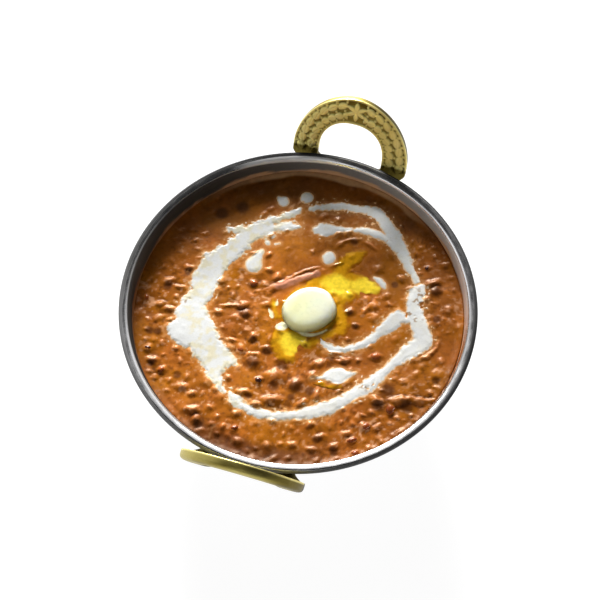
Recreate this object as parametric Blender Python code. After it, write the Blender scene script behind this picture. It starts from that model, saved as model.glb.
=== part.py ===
"""Dal makhani in its serving kadai.

A steel bowl with two riveted brass handles, filled with black-lentil gravy that
carries a pat of butter and strokes of cream. Metres, +Z up, origin at the centre of
the base. One handle points along +Y and the other along -Y.
"""

import math

import bmesh
import bpy
from mathutils import Matrix, Vector

MM = 0.001
GAP = 0.3 * MM  # clearance between touching pieces
TURN_SEGMENTS = 48  # round pieces as large as the bowl

# Bowl: flat base, superelliptic belly, rolled lip
RIM_HEIGHT = 55 * MM
RIM_RADIUS = 85 * MM
BEAD_RADIUS = 1.6 * MM
BASE_RADIUS = 38 * MM
BELLY_RADIUS = 80.6 * MM
BELLY_TOP = 49 * MM
BELLY_EXPONENT = 1.6
BELLY_STEPS = 8
SHEET = 1.2 * MM
NECK_RISE = 2.2 * MM

# Gravy
GRAVY_LEVEL = RIM_HEIGHT - 10 * MM
TILT_RISE = 1.5 * MM  # the thick gravy stands this much higher at the +X wall
WAVES = (  # height, wavelength, heading in degrees, phase
    (0.28 * MM, 52 * MM, 25, 0.6),
    (0.22 * MM, 41 * MM, 110, 2.1),
)
MENISCUS_RISE = 0.7 * MM
MENISCUS_REACH = 3.5 * MM
SURFACE_RINGS = 9

# Handles, drawn in a plane of (across, up) that leans out from the rim. They are bent
# and riveted by hand, so each has its own azimuth, lean above the horizontal and standoff
HANDLES = {
    "back": (89.1, 67, 1.5 * MM),
    "front": (-90.7, 71.5, 0.4 * MM),
}
HANDLE_THICKNESS = 4.9 * MM
HANDLE_EDGE = 1.1 * MM  # depth of the square edge, from which the back's corners round off
BACK_EXPONENT = 4
BACK_STEPS = 6
OUTER_HALF = 28.9 * MM
OUTER_RISE = 32.5 * MM
OUTER_EXPONENT = 1.9
INNER_HALF = 16.2 * MM
INNER_RISE = 18.2 * MM
INNER_EXPONENT = 2.25
FOOT_OUTER = 22.3 * MM
FOOT_INNER = 6.6 * MM
FOOT_DROP = 22 * MM
FOOT_INSET = 3.3 * MM  # step towards the wall
BEND_START = 4 * MM  # the legs bend to the feet's width from here,
STEP_START = 6 * MM  # and step towards the wall from here,
STEP_END = 13 * MM  # down to here below the rim
FOOT_ROUND = 6 * MM
BORDER = 1.5 * MM
GROOVE = 0.6 * MM
GROOVE_END = 4 * MM  # it runs out this far below the rim
FULL_WIDTH = 4.6 * MM  # narrower than this, borders and corners shrink in step
ARCH_STEPS = 12
LEG_STEPS = 8

# Rivets
RIVET_HEIGHT = 42.6 * MM
RIVET_SPREAD = 10.2  # degrees round the bowl from the middle of a handle
SHANK_RADIUS = 2 * MM
HEAD_RADIUS = 3 * MM
HEAD_RISE = 1.5 * MM
SEAT_DEPTH = 0.9 * MM  # spot face for the outer head
RIVET_SEGMENTS = 10

# Butter
BUTTER_PLACE = (4.6 * MM, 3.1 * MM)
BUTTER_HALF = (12.8 * MM, 11.2 * MM)
BUTTER_TURN = 38  # degrees
BUTTER_HEIGHT = 4.0 * MM

# Cream: strokes are (x, y, half width) in millimetres along the middle of each stroke,
# drawn on a level plan that is carried up onto the gravy along a slant
PLAN_LEVEL = GRAVY_LEVEL - 2.4 * MM
PLAN_SLANT = Vector((0.145, -0.487))  # sideways for each unit of height
CREAM_THICKNESS = 1.1 * MM
CREAM_STROKES = {
    "cream_left": (
        (-15, 56.5, 1.2), (-21, 51, 2.4), (-27, 45.5, 4), (-33.5, 38, 5), (-38, 31, 5.5),
        (-41.5, 23, 6), (-45, 15, 6.5), (-47.5, 7, 7), (-48.5, -1, 6.6), (-48.5, -8, 6.6),
        (-47, -15, 9), (-43, -22, 12), (-37, -28.5, 11), (-32, -34, 8), (-28, -40, 5.4),
        (-25, -44.5, 2.6),
    ),
    "cream_top": (
        (-10, 58.5, 1.3), (-4, 61.3, 2.4), (4, 64.2, 2.6), (12, 65, 2.6), (20, 65.5, 3.2),
        (26, 61.8, 3.5), (32, 55.6, 3.8), (37, 49.5, 3.8), (42, 43.2, 2.6), (46.5, 37.8, 2.2),
        (50, 33.8, 1.8),
    ),
    "cream_top_inner": (
        (-5.5, 48, 2.2), (-0.5, 48.8, 4), (5, 50.6, 2.2), (11, 52.2, 2), (19, 53.8, 2.6),
        (26, 53, 2),
    ),
    "cream_right": (
        (51.5, 30.5, 2.4), (51.5, 24.5, 4.4), (53, 17.5, 4.2), (57, 10.5, 4.6), (60, 4, 4.8),
        (57, -1.5, 4.4), (53, -7, 3.2), (49.5, -12.5, 2.8), (45.5, -19.5, 3.2),
        (41, -26.5, 3.8), (35, -33, 3), (28.5, -40, 3.6), (21.5, -44.6, 3.6), (13, -49.4, 2.6),
        (5, -52.6, 2.3), (-3, -53.8, 2.3), (-11, -52.4, 2.6), (-17, -49.8, 2.6),
        (-19.6, -47.2, 1.2),
    ),
    "cream_stroke": (
        (15, -9, 1.2), (20, -10.8, 1.8), (26, -10, 1.8), (31, -6.8, 1.8), (35.5, -2, 2.3),
        (39.5, 3, 2.8), (44, 9, 4.2), (46, 11.5, 2.6),
    ),
}
CREAM_DROPS = (  # x, y, half length, half width in millimetres, heading in degrees
    (-14, 64, 3.4, 3.2, 0),
    (-24.8, 59, 3.6, 2.9, 160),
    (5.5, 34.5, 3.7, 3.6, 0),
    (-28.4, 21.2, 5.2, 4.4, 80),
    (33, 28.6, 4.2, 2.2, -40),
    (26.5, -25.4, 4.8, 4.2, 60),
    (-6.6, -10.4, 2.7, 2.4, 0),
)
STROKE_STEP = 4.6 * MM
DROP_SEGMENTS = 12


def clear_scene():
    for old in list(bpy.data.objects):
        bpy.data.objects.remove(old)


def make_material(name, color, roughness, metallic=0.0):
    material = bpy.data.materials.new(name)
    material.use_nodes = True
    shader = material.node_tree.nodes["Principled BSDF"]
    shader.inputs["Base Color"].default_value = (*color, 1)
    shader.inputs["Roughness"].default_value = roughness
    shader.inputs["Metallic"].default_value = metallic
    return material


def make_object(name, vertices, faces, material):
    """One mesh object; faces may come wound either way and are turned outwards here."""
    mesh = bpy.data.meshes.new(name)
    mesh.from_pydata(vertices, [], faces)
    work = bmesh.new()
    work.from_mesh(mesh)
    bmesh.ops.recalc_face_normals(work, faces=work.faces)
    work.to_mesh(mesh)
    work.free()
    mesh.shade_smooth()
    mesh.set_sharp_from_angle(angle=math.radians(35))
    if material:
        mesh.materials.append(material)
    thing = bpy.data.objects.new(name, mesh)
    bpy.context.scene.collection.objects.link(thing)
    return thing


def make_cutter(name, vertices, faces):
    cutter = make_object(name, vertices, faces, None)
    cutter.hide_render = True
    cutter.display_type = "WIRE"
    return cutter


def cut(thing, cutter):
    modifier = thing.modifiers.new(cutter.name, "BOOLEAN")
    modifier.operation = "DIFFERENCE"
    modifier.solver = "EXACT"
    modifier.object = cutter


def smoothstep(value):
    value = min(max(value, 0.0), 1.0)
    return value * value * (3 - 2 * value)


def signed_power(value, exponent):
    return math.copysign(abs(value) ** exponent, value)


def turned(profile, segments):
    """Vertices and faces of an (r, z) profile turned about Z; r of 0 makes a pole."""
    vertices = []
    rings = []
    for radius, height in profile:
        if radius == 0:
            rings.append([len(vertices)] * segments)
            vertices.append((0, 0, height))
            continue
        rings.append([len(vertices) + i for i in range(segments)])
        for i in range(segments):
            angle = 2 * math.pi * i / segments
            vertices.append((radius * math.cos(angle), radius * math.sin(angle), height))
    faces = []
    for low, high in zip(rings, rings[1:]):
        for i in range(segments):
            j = (i + 1) % segments
            corners = [low[i], low[j], high[j], high[i]]
            faces.append(list(dict.fromkeys(corners)))
    return vertices, faces


def lofted(sections):
    """Vertices and faces of closed sections with equal counts, with flat end caps."""
    count = len(sections[0])
    vertices = [point for section in sections for point in section]
    faces = []
    for k in range(len(sections) - 1):
        for i in range(count):
            j = (i + 1) % count
            a = k * count
            b = a + count
            faces.append([a + i, a + j, b + j, b + i])
    last = (len(sections) - 1) * count
    faces.append(list(range(count)))
    faces.append([last + i for i in range(count)])
    return vertices, faces


def offset_profile(profile, distance):
    """Moves an open (r, z) profile sideways, to its left for a positive distance."""
    moved = []
    for i, (radius, height) in enumerate(profile):
        before = profile[max(i - 1, 0)]
        after = profile[min(i + 1, len(profile) - 1)]
        run = Vector((after[0] - before[0], after[1] - before[1])).normalized()
        moved.append((radius - run.y * distance, height + run.x * distance))
    return moved


def belly_profile():
    """Outer wall from the edge of the base up to the top of the belly."""
    power = 2 / BELLY_EXPONENT
    points = []
    for i in range(BELLY_STEPS + 1):
        angle = math.pi / 2 * i / BELLY_STEPS
        radius = BASE_RADIUS + (BELLY_RADIUS - BASE_RADIUS) * math.sin(angle) ** power
        height = BELLY_TOP * (1 - math.cos(angle) ** power)
        points.append((radius, height))
    return points


def lip_profile():
    """The rolled lip, from the outside of the neck over the bead to the inside."""
    centre_r = RIM_RADIUS - BEAD_RADIUS
    centre_z = RIM_HEIGHT - BEAD_RADIUS
    points = [(BELLY_RADIUS + 0.5 * MM, BELLY_TOP + NECK_RISE)]
    for angle in (-105, -60, 0, 45, 90):
        turn = math.radians(angle)
        points.append(
            (centre_r + BEAD_RADIUS * math.cos(turn), centre_z + BEAD_RADIUS * math.sin(turn))
        )
    points.append((RIM_RADIUS - 4.0 * MM, RIM_HEIGHT - 0.8 * MM))
    points.append((BELLY_RADIUS - SHEET + 0.4 * MM, BELLY_TOP + NECK_RISE))
    return points


def inner_profile(inset):
    """The inside of the wall moved in by inset, from the edge of the floor upwards."""
    return offset_profile(belly_profile(), SHEET + inset)


def inner_radius(height, inset):
    """Radius of the inside of the wall, less inset, at a height above the base."""
    profile = inner_profile(inset)
    for (r_low, z_low), (r_high, z_high) in zip(profile, profile[1:]):
        if z_low <= height <= z_high:
            return r_low + (r_high - r_low) * (height - z_low) / (z_high - z_low)
    return profile[-1][0]


def make_bowl(material):
    outside = belly_profile()
    inside = inner_profile(0)
    profile = [(0, 0), *outside, *lip_profile(), *reversed(inside)]
    profile.append((0, inside[0][1]))
    return make_object("bowl", *turned(profile, TURN_SEGMENTS), material)


def make_wall_cutter():
    """The bowl's outer shape grown by the clearance, which trims the handles' feet."""
    grown = offset_profile([*belly_profile(), *lip_profile()[:5]], -GAP)
    top = RIM_HEIGHT + GAP
    profile = [(0, -GAP), *grown, (RIM_RADIUS - BEAD_RADIUS, top), (0, top)]
    return make_cutter("wall_cutter", *turned(profile, TURN_SEGMENTS))


def gravy_height(x, y):
    """Height of the gravy's surface, with its tilt, slow waves and meniscus."""
    height = GRAVY_LEVEL + TILT_RISE * x / BELLY_RADIUS
    for rise, wavelength, heading, phase in WAVES:
        turn = math.radians(heading)
        along = x * math.cos(turn) + y * math.sin(turn)
        height += rise * math.sin(2 * math.pi * along / wavelength + phase)
    edge = inner_radius(GRAVY_LEVEL, GAP) - math.hypot(x, y)
    height += MENISCUS_RISE * (1 - smoothstep(edge / MENISCUS_REACH))
    return height


def make_gravy(material):
    level_radius = inner_radius(GRAVY_LEVEL, GAP)
    wall = [point for point in inner_profile(GAP) if point[1] < GRAVY_LEVEL - 5 * MM]
    vertices = [(0, 0, wall[0][1])]
    rings = [[0] * TURN_SEGMENTS]

    def add_ring(points):
        rings.append([len(vertices) + i for i in range(TURN_SEGMENTS)])
        vertices.extend(points)

    angles = [2 * math.pi * i / TURN_SEGMENTS for i in range(TURN_SEGMENTS)]
    for radius, height in wall:
        add_ring([(radius * math.cos(a), radius * math.sin(a), height) for a in angles])
    edge = []
    for a in angles:
        height = gravy_height(level_radius * math.cos(a), level_radius * math.sin(a))
        radius = inner_radius(height, GAP)
        edge.append((radius * math.cos(a), radius * math.sin(a), height))
    add_ring(edge)
    for i in range(SURFACE_RINGS, 0, -1):
        radius = (level_radius - MENISCUS_REACH) * (i / SURFACE_RINGS) ** 0.85
        ring = []
        for a in angles:
            x = radius * math.cos(a)
            y = radius * math.sin(a)
            ring.append((x, y, gravy_height(x, y)))
        add_ring(ring)
    rings.append([len(vertices)] * TURN_SEGMENTS)
    vertices.append((0, 0, gravy_height(0, 0)))
    faces = []
    for low, high in zip(rings, rings[1:]):
        for i in range(TURN_SEGMENTS):
            j = (i + 1) % TURN_SEGMENTS
            faces.append(list(dict.fromkeys([low[i], low[j], high[j], high[i]])))
    return make_object("gravy", vertices, faces, material)


def laid(x, y):
    """Where a point of the level plan lands on the gravy."""
    return Vector((x, y)) + PLAN_SLANT * (gravy_height(x, y) - PLAN_LEVEL)


def arch_point(half, rise, exponent, angle):
    power = 2 / exponent
    across = half * signed_power(math.cos(angle), power)
    return across, rise * signed_power(math.sin(angle), power)


def handle_edges(along):
    """Outer and inner edge of one half handle; along runs 0 at the apex to 1 at the foot."""
    arch_share = ARCH_STEPS / (ARCH_STEPS + LEG_STEPS)
    if along <= arch_share:
        angle = math.pi / 2 * (1 - along / arch_share)
        outer = arch_point(OUTER_HALF, OUTER_RISE, OUTER_EXPONENT, angle)
        return outer, arch_point(INNER_HALF, INNER_RISE, INNER_EXPONENT, angle)
    drop = FOOT_DROP * (along - arch_share) / (1 - arch_share)
    bend = smoothstep((drop - BEND_START) / (STEP_END - BEND_START))
    outer = OUTER_HALF + (FOOT_OUTER - OUTER_HALF) * bend
    inner = INNER_HALF + (FOOT_INNER - INNER_HALF) * bend
    past = max(0.0, (drop - (FOOT_DROP - FOOT_ROUND)) / (FOOT_ROUND * 1.04))
    half = (outer - inner) / 2 * math.sqrt(1 - past * past)
    middle = (outer + inner) / 2
    return (middle + half, -drop), (middle - half, -drop)


def handle_section(along, side):
    """One closed section across the handle: a face sunk between raised borders, square
    edges and a slightly crowned back with rounded corners."""
    outer, inner = (Vector((side * x, y)) for x, y in handle_edges(along))
    width = (inner - outer).length
    inwards = (inner - outer) / width
    drop = max(0.0, -outer.y)
    inset = FOOT_INSET * smoothstep((drop - STEP_START) / (STEP_END - STEP_START))
    chamfer = 0.4 * MM
    slope = 0.6 * MM
    groove = GROOVE * (1 - smoothstep(drop / GROOVE_END))
    face = [(0, -chamfer), (chamfer, 0), (BORDER, 0), (BORDER + slope, -groove)]
    back = []
    power = 2 / BACK_EXPONENT
    for i in range(BACK_STEPS + 1):
        angle = math.pi * i / BACK_STEPS
        swell = (HANDLE_THICKNESS - HANDLE_EDGE) * signed_power(math.sin(angle), power)
        across = width / 2 * (1 + signed_power(math.cos(angle), power))
        back.append((across, -HANDLE_EDGE - swell))
    shape = face + [(width - across, depth) for across, depth in reversed(face)] + back
    narrow = min(1.0, width / FULL_WIDTH)
    points = []
    for across, depth in shape:
        if across > width / 2:
            across = width - (width - across) * narrow
        else:
            across *= narrow
        place = outer + inwards * across
        points.append((place.x, place.y, depth + inset))
    return points


def handle_frame(end):
    """Matrix from (across, up, towards the bowl) to the world for one handle."""
    azimuth, lean, standoff = HANDLES[end]
    turn = math.radians(azimuth)
    lean = math.radians(lean)
    outwards = Vector((math.cos(turn), math.sin(turn), 0))
    up = outwards * math.cos(lean) + Vector((0, 0, math.sin(lean)))
    across = outwards.cross(Vector((0, 0, 1)))
    towards = across.cross(up)
    origin = outwards * (RIM_RADIUS + standoff) + Vector((0, 0, RIM_HEIGHT))
    axes = Matrix((across, up, towards)).transposed().to_4x4()
    return Matrix.Translation(origin) @ axes


def make_handle(end, material):
    steps = ARCH_STEPS + LEG_STEPS
    sections = [handle_section(i / steps, 1) for i in range(steps, 0, -1)]
    sections += [handle_section(i / steps, -1) for i in range(steps + 1)]
    handle = make_object(f"handle_{end}", *lofted(sections), material)
    handle.matrix_world = handle_frame(end)
    return handle


def rivet_frame(azimuth, side):
    """Matrix with its origin on the inside of the wall and +Z square to it, inwards."""
    turn = math.radians(azimuth + side * RIVET_SPREAD)
    radius = inner_radius(RIVET_HEIGHT, 0)
    slope = (inner_radius(RIVET_HEIGHT + MM, 0) - inner_radius(RIVET_HEIGHT - MM, 0)) / (2 * MM)
    outwards = Vector((math.cos(turn), math.sin(turn), 0))
    inwards = (Vector((0, 0, slope)) - outwards).normalized()
    sideways = inwards.orthogonal().normalized()
    axes = Matrix((sideways, inwards.cross(sideways), inwards)).transposed().to_4x4()
    return Matrix.Translation(outwards * radius + Vector((0, 0, RIVET_HEIGHT))) @ axes


def foot_depth(handle, rivet):
    """Where a rivet's axis meets the outer face of a foot, along that axis."""
    inverse = handle.inverted()
    start = (inverse @ rivet.translation).z
    step = (inverse @ (rivet @ Vector((0, 0, 1)))).z - start
    return (FOOT_INSET - HANDLE_THICKNESS - start) / step


def rivet_profile(grow, inside, outside):
    """(r, z) profile of a rivet along +Z, from the outer head to the inner dome."""
    shank = SHANK_RADIUS + grow
    head = HEAD_RADIUS + grow
    rise = HEAD_RISE + grow
    return (
        (0, outside - rise), (head * 0.7, outside - rise * 0.75), (head, outside + grow),
        (shank, outside + grow), (shank, inside - grow), (head, inside - grow),
        (head * 0.75, inside + rise * 0.7), (0, inside + rise),
    )


def make_rivet(end, side, material, cut_from):
    """A rivet through a foot and the wall, with the holes and the hollow that it needs."""
    azimuth = HANDLES[end][0]
    name = f"rivet_{end}_" + ("left" if side * azimuth > 0 else "right")
    frame = rivet_frame(azimuth, side)
    seat = foot_depth(handle_frame(end), frame) + SEAT_DEPTH
    inside = 2 * GAP
    outside = seat - GAP
    rivet = make_object(name, *turned(rivet_profile(0, inside, outside), RIVET_SEGMENTS), material)
    reach = 4 * MM
    hole = SHANK_RADIUS + GAP
    spot_face = HEAD_RADIUS + GAP
    drill_profile = (
        (0, seat - reach), (spot_face, seat - reach), (spot_face, seat), (hole, seat),
        (hole, reach), (0, reach),
    )
    drill = make_cutter(f"{name}_drill", *turned(drill_profile, RIVET_SEGMENTS))
    hollow_profile = rivet_profile(GAP, inside, outside)
    hollow = make_cutter(f"{name}_hollow", *turned(hollow_profile, RIVET_SEGMENTS))
    for placed in (rivet, drill, hollow):
        placed.matrix_world = frame
    cut(cut_from["bowl"], drill)
    cut(cut_from["handle"], drill)
    cut(cut_from["gravy"], hollow)
    return rivet


def mound(outline, thickness, levels, segments):
    """A low solid lying on the gravy. outline is its middle and a function that gives the
    (x, y) reach at an angle; levels lists (share of the reach, share of the thickness)
    from the edge inwards."""
    (cx, cy), reach = outline
    vertices = [(cx, cy, gravy_height(cx, cy) + GAP)]
    rings = [[0] * segments]

    def add_ring(share, lift):
        rings.append([len(vertices) + i for i in range(segments)])
        for i in range(segments):
            dx, dy = reach(2 * math.pi * i / segments)
            x = cx + dx * share
            y = cy + dy * share
            vertices.append((x, y, gravy_height(x, y) + GAP + lift))

    if segments > DROP_SEGMENTS:
        add_ring(0.5, 0)
    for share, lift in levels:
        add_ring(share, lift * thickness)
    rings.append([len(vertices)] * segments)
    vertices.append((cx, cy, gravy_height(cx, cy) + GAP + thickness))
    faces = []
    for low, high in zip(rings, rings[1:]):
        for i in range(segments):
            j = (i + 1) % segments
            faces.append(list(dict.fromkeys([low[i], low[j], high[j], high[i]])))
    return vertices, faces


def oval(place, half_length, half_width, heading, exponent=2.0):
    turn = math.radians(heading)
    power = 2 / exponent

    def reach(angle):
        along = half_length * signed_power(math.cos(angle), power)
        side = half_width * signed_power(math.sin(angle), power)
        x = along * math.cos(turn) - side * math.sin(turn)
        return x, along * math.sin(turn) + side * math.cos(turn)

    return place, reach


def make_butter(material):
    outline = oval(BUTTER_PLACE, *BUTTER_HALF, BUTTER_TURN, 2.3)
    levels = ((0.94, 0), (1.0, 0.2), (0.99, 0.55), (0.92, 0.86), (0.78, 0.97), (0.45, 1.0))
    return make_object("butter_pat", *mound(outline, BUTTER_HEIGHT, levels, 24), material)


def make_drop(name, place, half_length, half_width, heading, material):
    outline = oval(place, half_length, half_width, heading)
    levels = ((1.0, 0), (0.7, 0.75))
    return make_object(name, *mound(outline, CREAM_THICKNESS, levels, DROP_SEGMENTS), material)


def curve_through(points):
    """Evenly spaced samples of a Catmull-Rom curve through points of any dimension."""
    samples = []
    for i in range(len(points) - 1):
        before = points[max(i - 1, 0)]
        start = points[i]
        end = points[i + 1]
        after = points[min(i + 2, len(points) - 1)]
        steps = max(1, round((end - start).length / STROKE_STEP))
        for k in range(steps):
            t = k / steps
            curved = start * 2 + (end - before) * t
            curved += (before * 2 - start * 5 + end * 4 - after) * t * t
            curved += (start * 3 - before - end * 3 + after) * t * t * t
            samples.append(curved / 2)
    samples.append(points[-1])
    return samples


def make_stroke(name, stroke, material):
    """A ribbon of cream whose underside follows the gravy."""
    path = [(*laid(x, y), reach) for x, y, reach in ((Vector(p) * MM) for p in stroke)]
    path = curve_through([Vector(point) for point in path])
    shape = ((-1, 0), (0, 0), (1, 0), (0.6, 0.85), (0, 1), (-0.6, 0.85))
    sections = []
    for i, point in enumerate(path):
        run = path[min(i + 1, len(path) - 1)] - path[max(i - 1, 0)]
        run = Vector((run.x, run.y)).normalized()
        section = []
        for across, lift in shape:
            x = point.x - run.y * across * point.z
            y = point.y + run.x * across * point.z
            section.append((x, y, gravy_height(x, y) + GAP + lift * CREAM_THICKNESS))
        sections.append(section)
    return make_object(name, *lofted(sections), material)


def build():
    clear_scene()
    steel = make_material("steel", (0.62, 0.62, 0.63), 0.22, 1.0)
    brass = make_material("brass", (0.62, 0.46, 0.17), 0.34, 1.0)
    rivet_steel = make_material("rivet_steel", (0.55, 0.55, 0.55), 0.3, 1.0)
    gravy_colour = make_material("gravy", (0.29, 0.10, 0.015), 0.22)
    butter_colour = make_material("butter", (0.87, 0.80, 0.50), 0.35)
    cream_colour = make_material("cream", (0.80, 0.78, 0.70), 0.3)

    bowl = make_bowl(steel)
    gravy = make_gravy(gravy_colour)
    wall_cutter = make_wall_cutter()
    for end in HANDLES:
        handle = make_handle(end, brass)
        cut(handle, wall_cutter)
        cut_from = {"bowl": bowl, "handle": handle, "gravy": gravy}
        for side in (-1, 1):
            make_rivet(end, side, rivet_steel, cut_from)
    make_butter(butter_colour)
    for name, stroke in CREAM_STROKES.items():
        make_stroke(name, stroke, cream_colour)
    for number, (x, y, half_length, half_width, heading) in enumerate(CREAM_DROPS, 1):
        make_drop(
            f"cream_drop_{number}", laid(x * MM, y * MM), half_length * MM, half_width * MM,
            heading, cream_colour,
        )


build()
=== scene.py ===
import math

import bmesh
import bpy
import numpy as np
from mathutils import Matrix, Vector


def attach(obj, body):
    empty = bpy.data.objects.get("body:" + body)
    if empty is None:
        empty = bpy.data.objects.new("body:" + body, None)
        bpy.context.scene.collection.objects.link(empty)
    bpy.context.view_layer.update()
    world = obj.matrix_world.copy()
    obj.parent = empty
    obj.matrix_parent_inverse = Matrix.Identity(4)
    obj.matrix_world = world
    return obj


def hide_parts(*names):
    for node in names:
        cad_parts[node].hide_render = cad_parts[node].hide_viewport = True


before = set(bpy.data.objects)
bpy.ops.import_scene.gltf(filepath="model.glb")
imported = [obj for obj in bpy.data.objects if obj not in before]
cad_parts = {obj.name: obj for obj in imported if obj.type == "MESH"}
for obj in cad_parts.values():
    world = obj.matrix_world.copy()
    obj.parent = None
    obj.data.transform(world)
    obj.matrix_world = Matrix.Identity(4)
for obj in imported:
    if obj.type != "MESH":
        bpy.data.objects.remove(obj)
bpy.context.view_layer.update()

MM = 0.001

# The bowl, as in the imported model
RIM_HEIGHT = 55 * MM
RIM_RADIUS = 85 * MM
BEAD_RADIUS = 1.6 * MM
BASE_RADIUS = 38 * MM
BELLY_RADIUS = 80.6 * MM
BELLY_TOP = 49 * MM
BELLY_EXPONENT = 1.6
SHEET = 1.2 * MM
NECK_RISE = 2.2 * MM
BOWL_SEGMENTS = 192
BELLY_STEPS = 40

# The gravy's surface
GRAVY_LEVEL = RIM_HEIGHT - 10 * MM
TILT_RISE = 1.5 * MM
WAVES = ((0.28, 52, 25, 0.6), (0.22, 41, 110, 2.1))  # mm, mm, degrees, phase
MENISCUS_RISE = 0.7 * MM
MENISCUS_REACH = 3.5 * MM
GRAVY_CELLS = 280
GRAVY_RINGS = (GRAVY_LEVEL - 6 * MM, 30 * MM, 18 * MM, 8 * MM, 2.4 * MM)  # down the belly

# The camera looks down steeply from the front, a little right of the handles' line
CAMERA_AZIMUTH = -73.7
CAMERA_ELEVATION = 63.094
CAMERA_DISTANCE = 807.5 * MM
CAMERA_LENS = 102.48
SENSOR_WIDTH = 36
AIM_RIGHT = 0.88 * MM
AIM_UP = 1.98 * MM

# One soft light, low behind and to the left, in a dim room, over a light table
KEY_AZIMUTH, KEY_ELEVATION, KEY_DISTANCE = 112, 19.5, 2.5
KEY_SIZE, KEY_WATTS, KEY_COLOUR = 1.0, 205.0, (1.0, 0.985, 0.96)
# Soft patches of the room: azimuth, elevation, reach and softness in degrees, brightness
PATCHES = (
    (-85, 46, 13, 12, 0.95),
    (152, 28, 8, 16, 0.42),
    (-125, 8, 14, 12, 0.8),
    (-170, 25, 14, 14, 0.9),
    (106, 42, 8, 10, 0.8),
    (68, 26, 10, 14, 0.8),
)
ROOM_GLOW = 0.015
FLOOR_GLOW = 0.92
FLOOR_SHADE = 0.22
FLOOR_HALF = 3  # m

# Handles, drawn in a plane of (across, up) in mm that leans out from the rim. Each has
# its own azimuth and lean in degrees, and standoff
HANDLES = {
    "back": (89.1, 67, 1.5 * MM),
    "front": (-90.7, 71.5, 0.4 * MM),
}
HANDLE_THICKNESS = 4.9
HANDLE_EDGE = 1.1
BACK_EXPONENT = 4
OUTER_HALF, OUTER_RISE, OUTER_EXPONENT = 28.9, 32.5, 1.9
INNER_HALF, INNER_RISE, INNER_EXPONENT = 16.2, 18.2, 2.25
FOOT_OUTER, FOOT_INNER, FOOT_DROP = 22.3, 6.6, 22
FOOT_INSET, FOOT_ROUND = 3.3, 6
BEND_START, STEP_START, STEP_END = 4, 6, 13
ARCH_SHARE = 0.6
HANDLE_STEPS = 190  # from the apex to each foot
FACE_STEPS = 44
BORDER = 1.5
CORNER = 0.45  # radius of the face's outer corners
CARVING = 0.65
LEAF_PITCH, LEAF_LENGTH, LEAF_WIDTH = 4.55, 2.75, 2.4
PETALS, PETAL_PLACE, PETAL_LENGTH, PETAL_WIDTH = 6, 2.9, 2.5, 1.45
BUD_RADIUS, FLOWER_HEART, FLOWER_ROOM = 0.85, 0.9, 4.2
BACK_TONE = 0.55  # the rough back is duller than the polished face
RIVET_HEIGHT = 42.6 * MM
RIVET_SPREAD = 10.2
SHANK_RADIUS, HEAD_RADIUS = 2 * MM, 3 * MM
INNER_HEAD, OUTER_HEAD = 1.9 * MM, 1.5 * MM  # how far each head stands out
HEAD_LIFT, SHANK_MARGIN = 0.12 * MM, 0.3 * MM
RIVET_SEGMENTS = 32
FOOT_GAP = 0.25 * MM  # between a handle's foot and the wall

# The toppings are drawn on a level plan that is carried up onto the gravy along a slant
PLAN_LEVEL = 42.6  # mm
PLAN_SLANT = (0.145, -0.487)
# Cream strokes: (x, y, half width) in millimetres along the middle of each stroke
CREAM_THICKNESS = 0.3
CREAM_STROKES = (
    ((-15, 57, 1.3), (-19, 53, 2), (-24.5, 48.5, 2.2), (-29, 44, 4), (-33.5, 38.5, 5),
     (-38, 31, 5.5), (-41, 26, 5.8), (-46, 18, 6.8), (-48, 10.6, 7.1), (-48.6, 4, 7),
     (-48.6, -2, 6.2), (-50, -8, 6.5), (-48.8, -14.5, 8.6), (-43, -20.5, 8.2),
     (-37.6, -27, 8.2), (-31.5, -32.4, 7.6), (-29.5, -40, 3.8), (-25, -45, 2.2),
     (-21.5, -47.8, 0.8)),
    ((-13.5, 46.8, 2.3), (-18, 46, 2.9), (-24, 43.2, 3), (-30, 40, 4)),
    ((-45, 36.5, 2), (-40, 37.5, 3), (-36, 37, 3)),
    ((-52, 19.5, 2.6), (-49, 18, 4)),
    ((-52.2, -22.7, 6.4), (-48, -24.5, 6.8)),
    ((-30, -30, 6), (-24.6, -31.6, 3.8)),
    ((-11, 58.3, 1.3), (-4, 61.3, 2.4), (4, 64.2, 2.6), (12, 65, 2.6), (20, 65.5, 3.4),
     (26, 61.8, 3.6), (32, 55.6, 3.9), (37, 49.5, 3.9), (42, 43.2, 2.7), (46.5, 37.8, 2.3),
     (50, 33.8, 2)),
    ((-5.5, 48, 1.8), (-0.5, 48.6, 4.2), (5, 50.6, 2.3), (11, 52.2, 2), (19, 53.6, 2.8),
     (26, 53, 2.6), (32, 50.6, 2.4), (37, 48, 2.6)),
    ((52, 31.5, 2.4), (51.5, 24.5, 4.6), (53, 17.5, 4.4), (57, 10.5, 4.8), (60, 4, 5),
     (57, -1.5, 4.6), (53, -7, 3.2), (49.5, -12.5, 2.8), (45.5, -19.5, 3.2),
     (41, -26.5, 3.8), (35.5, -32.6, 3.2), (30, -39, 3.4), (24.5, -43.4, 3.9),
     (15, -48.8, 3.0), (6, -52.4, 2.8), (-3, -53.8, 2.7), (-11, -52.4, 2.9),
     (-17, -49.8, 2.6), (-20, -46.8, 1)),
    ((13.5, -8.8, 1.4), (18.1, -11.8, 2.1), (25.8, -10.8, 2.3), (31.5, -7.4, 2.4),
     (36, -3, 2.6), (39.5, 2, 3), (43.5, 8.5, 4.2), (46.5, 12.5, 4), (51, 12.5, 2.4)),
)
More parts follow.
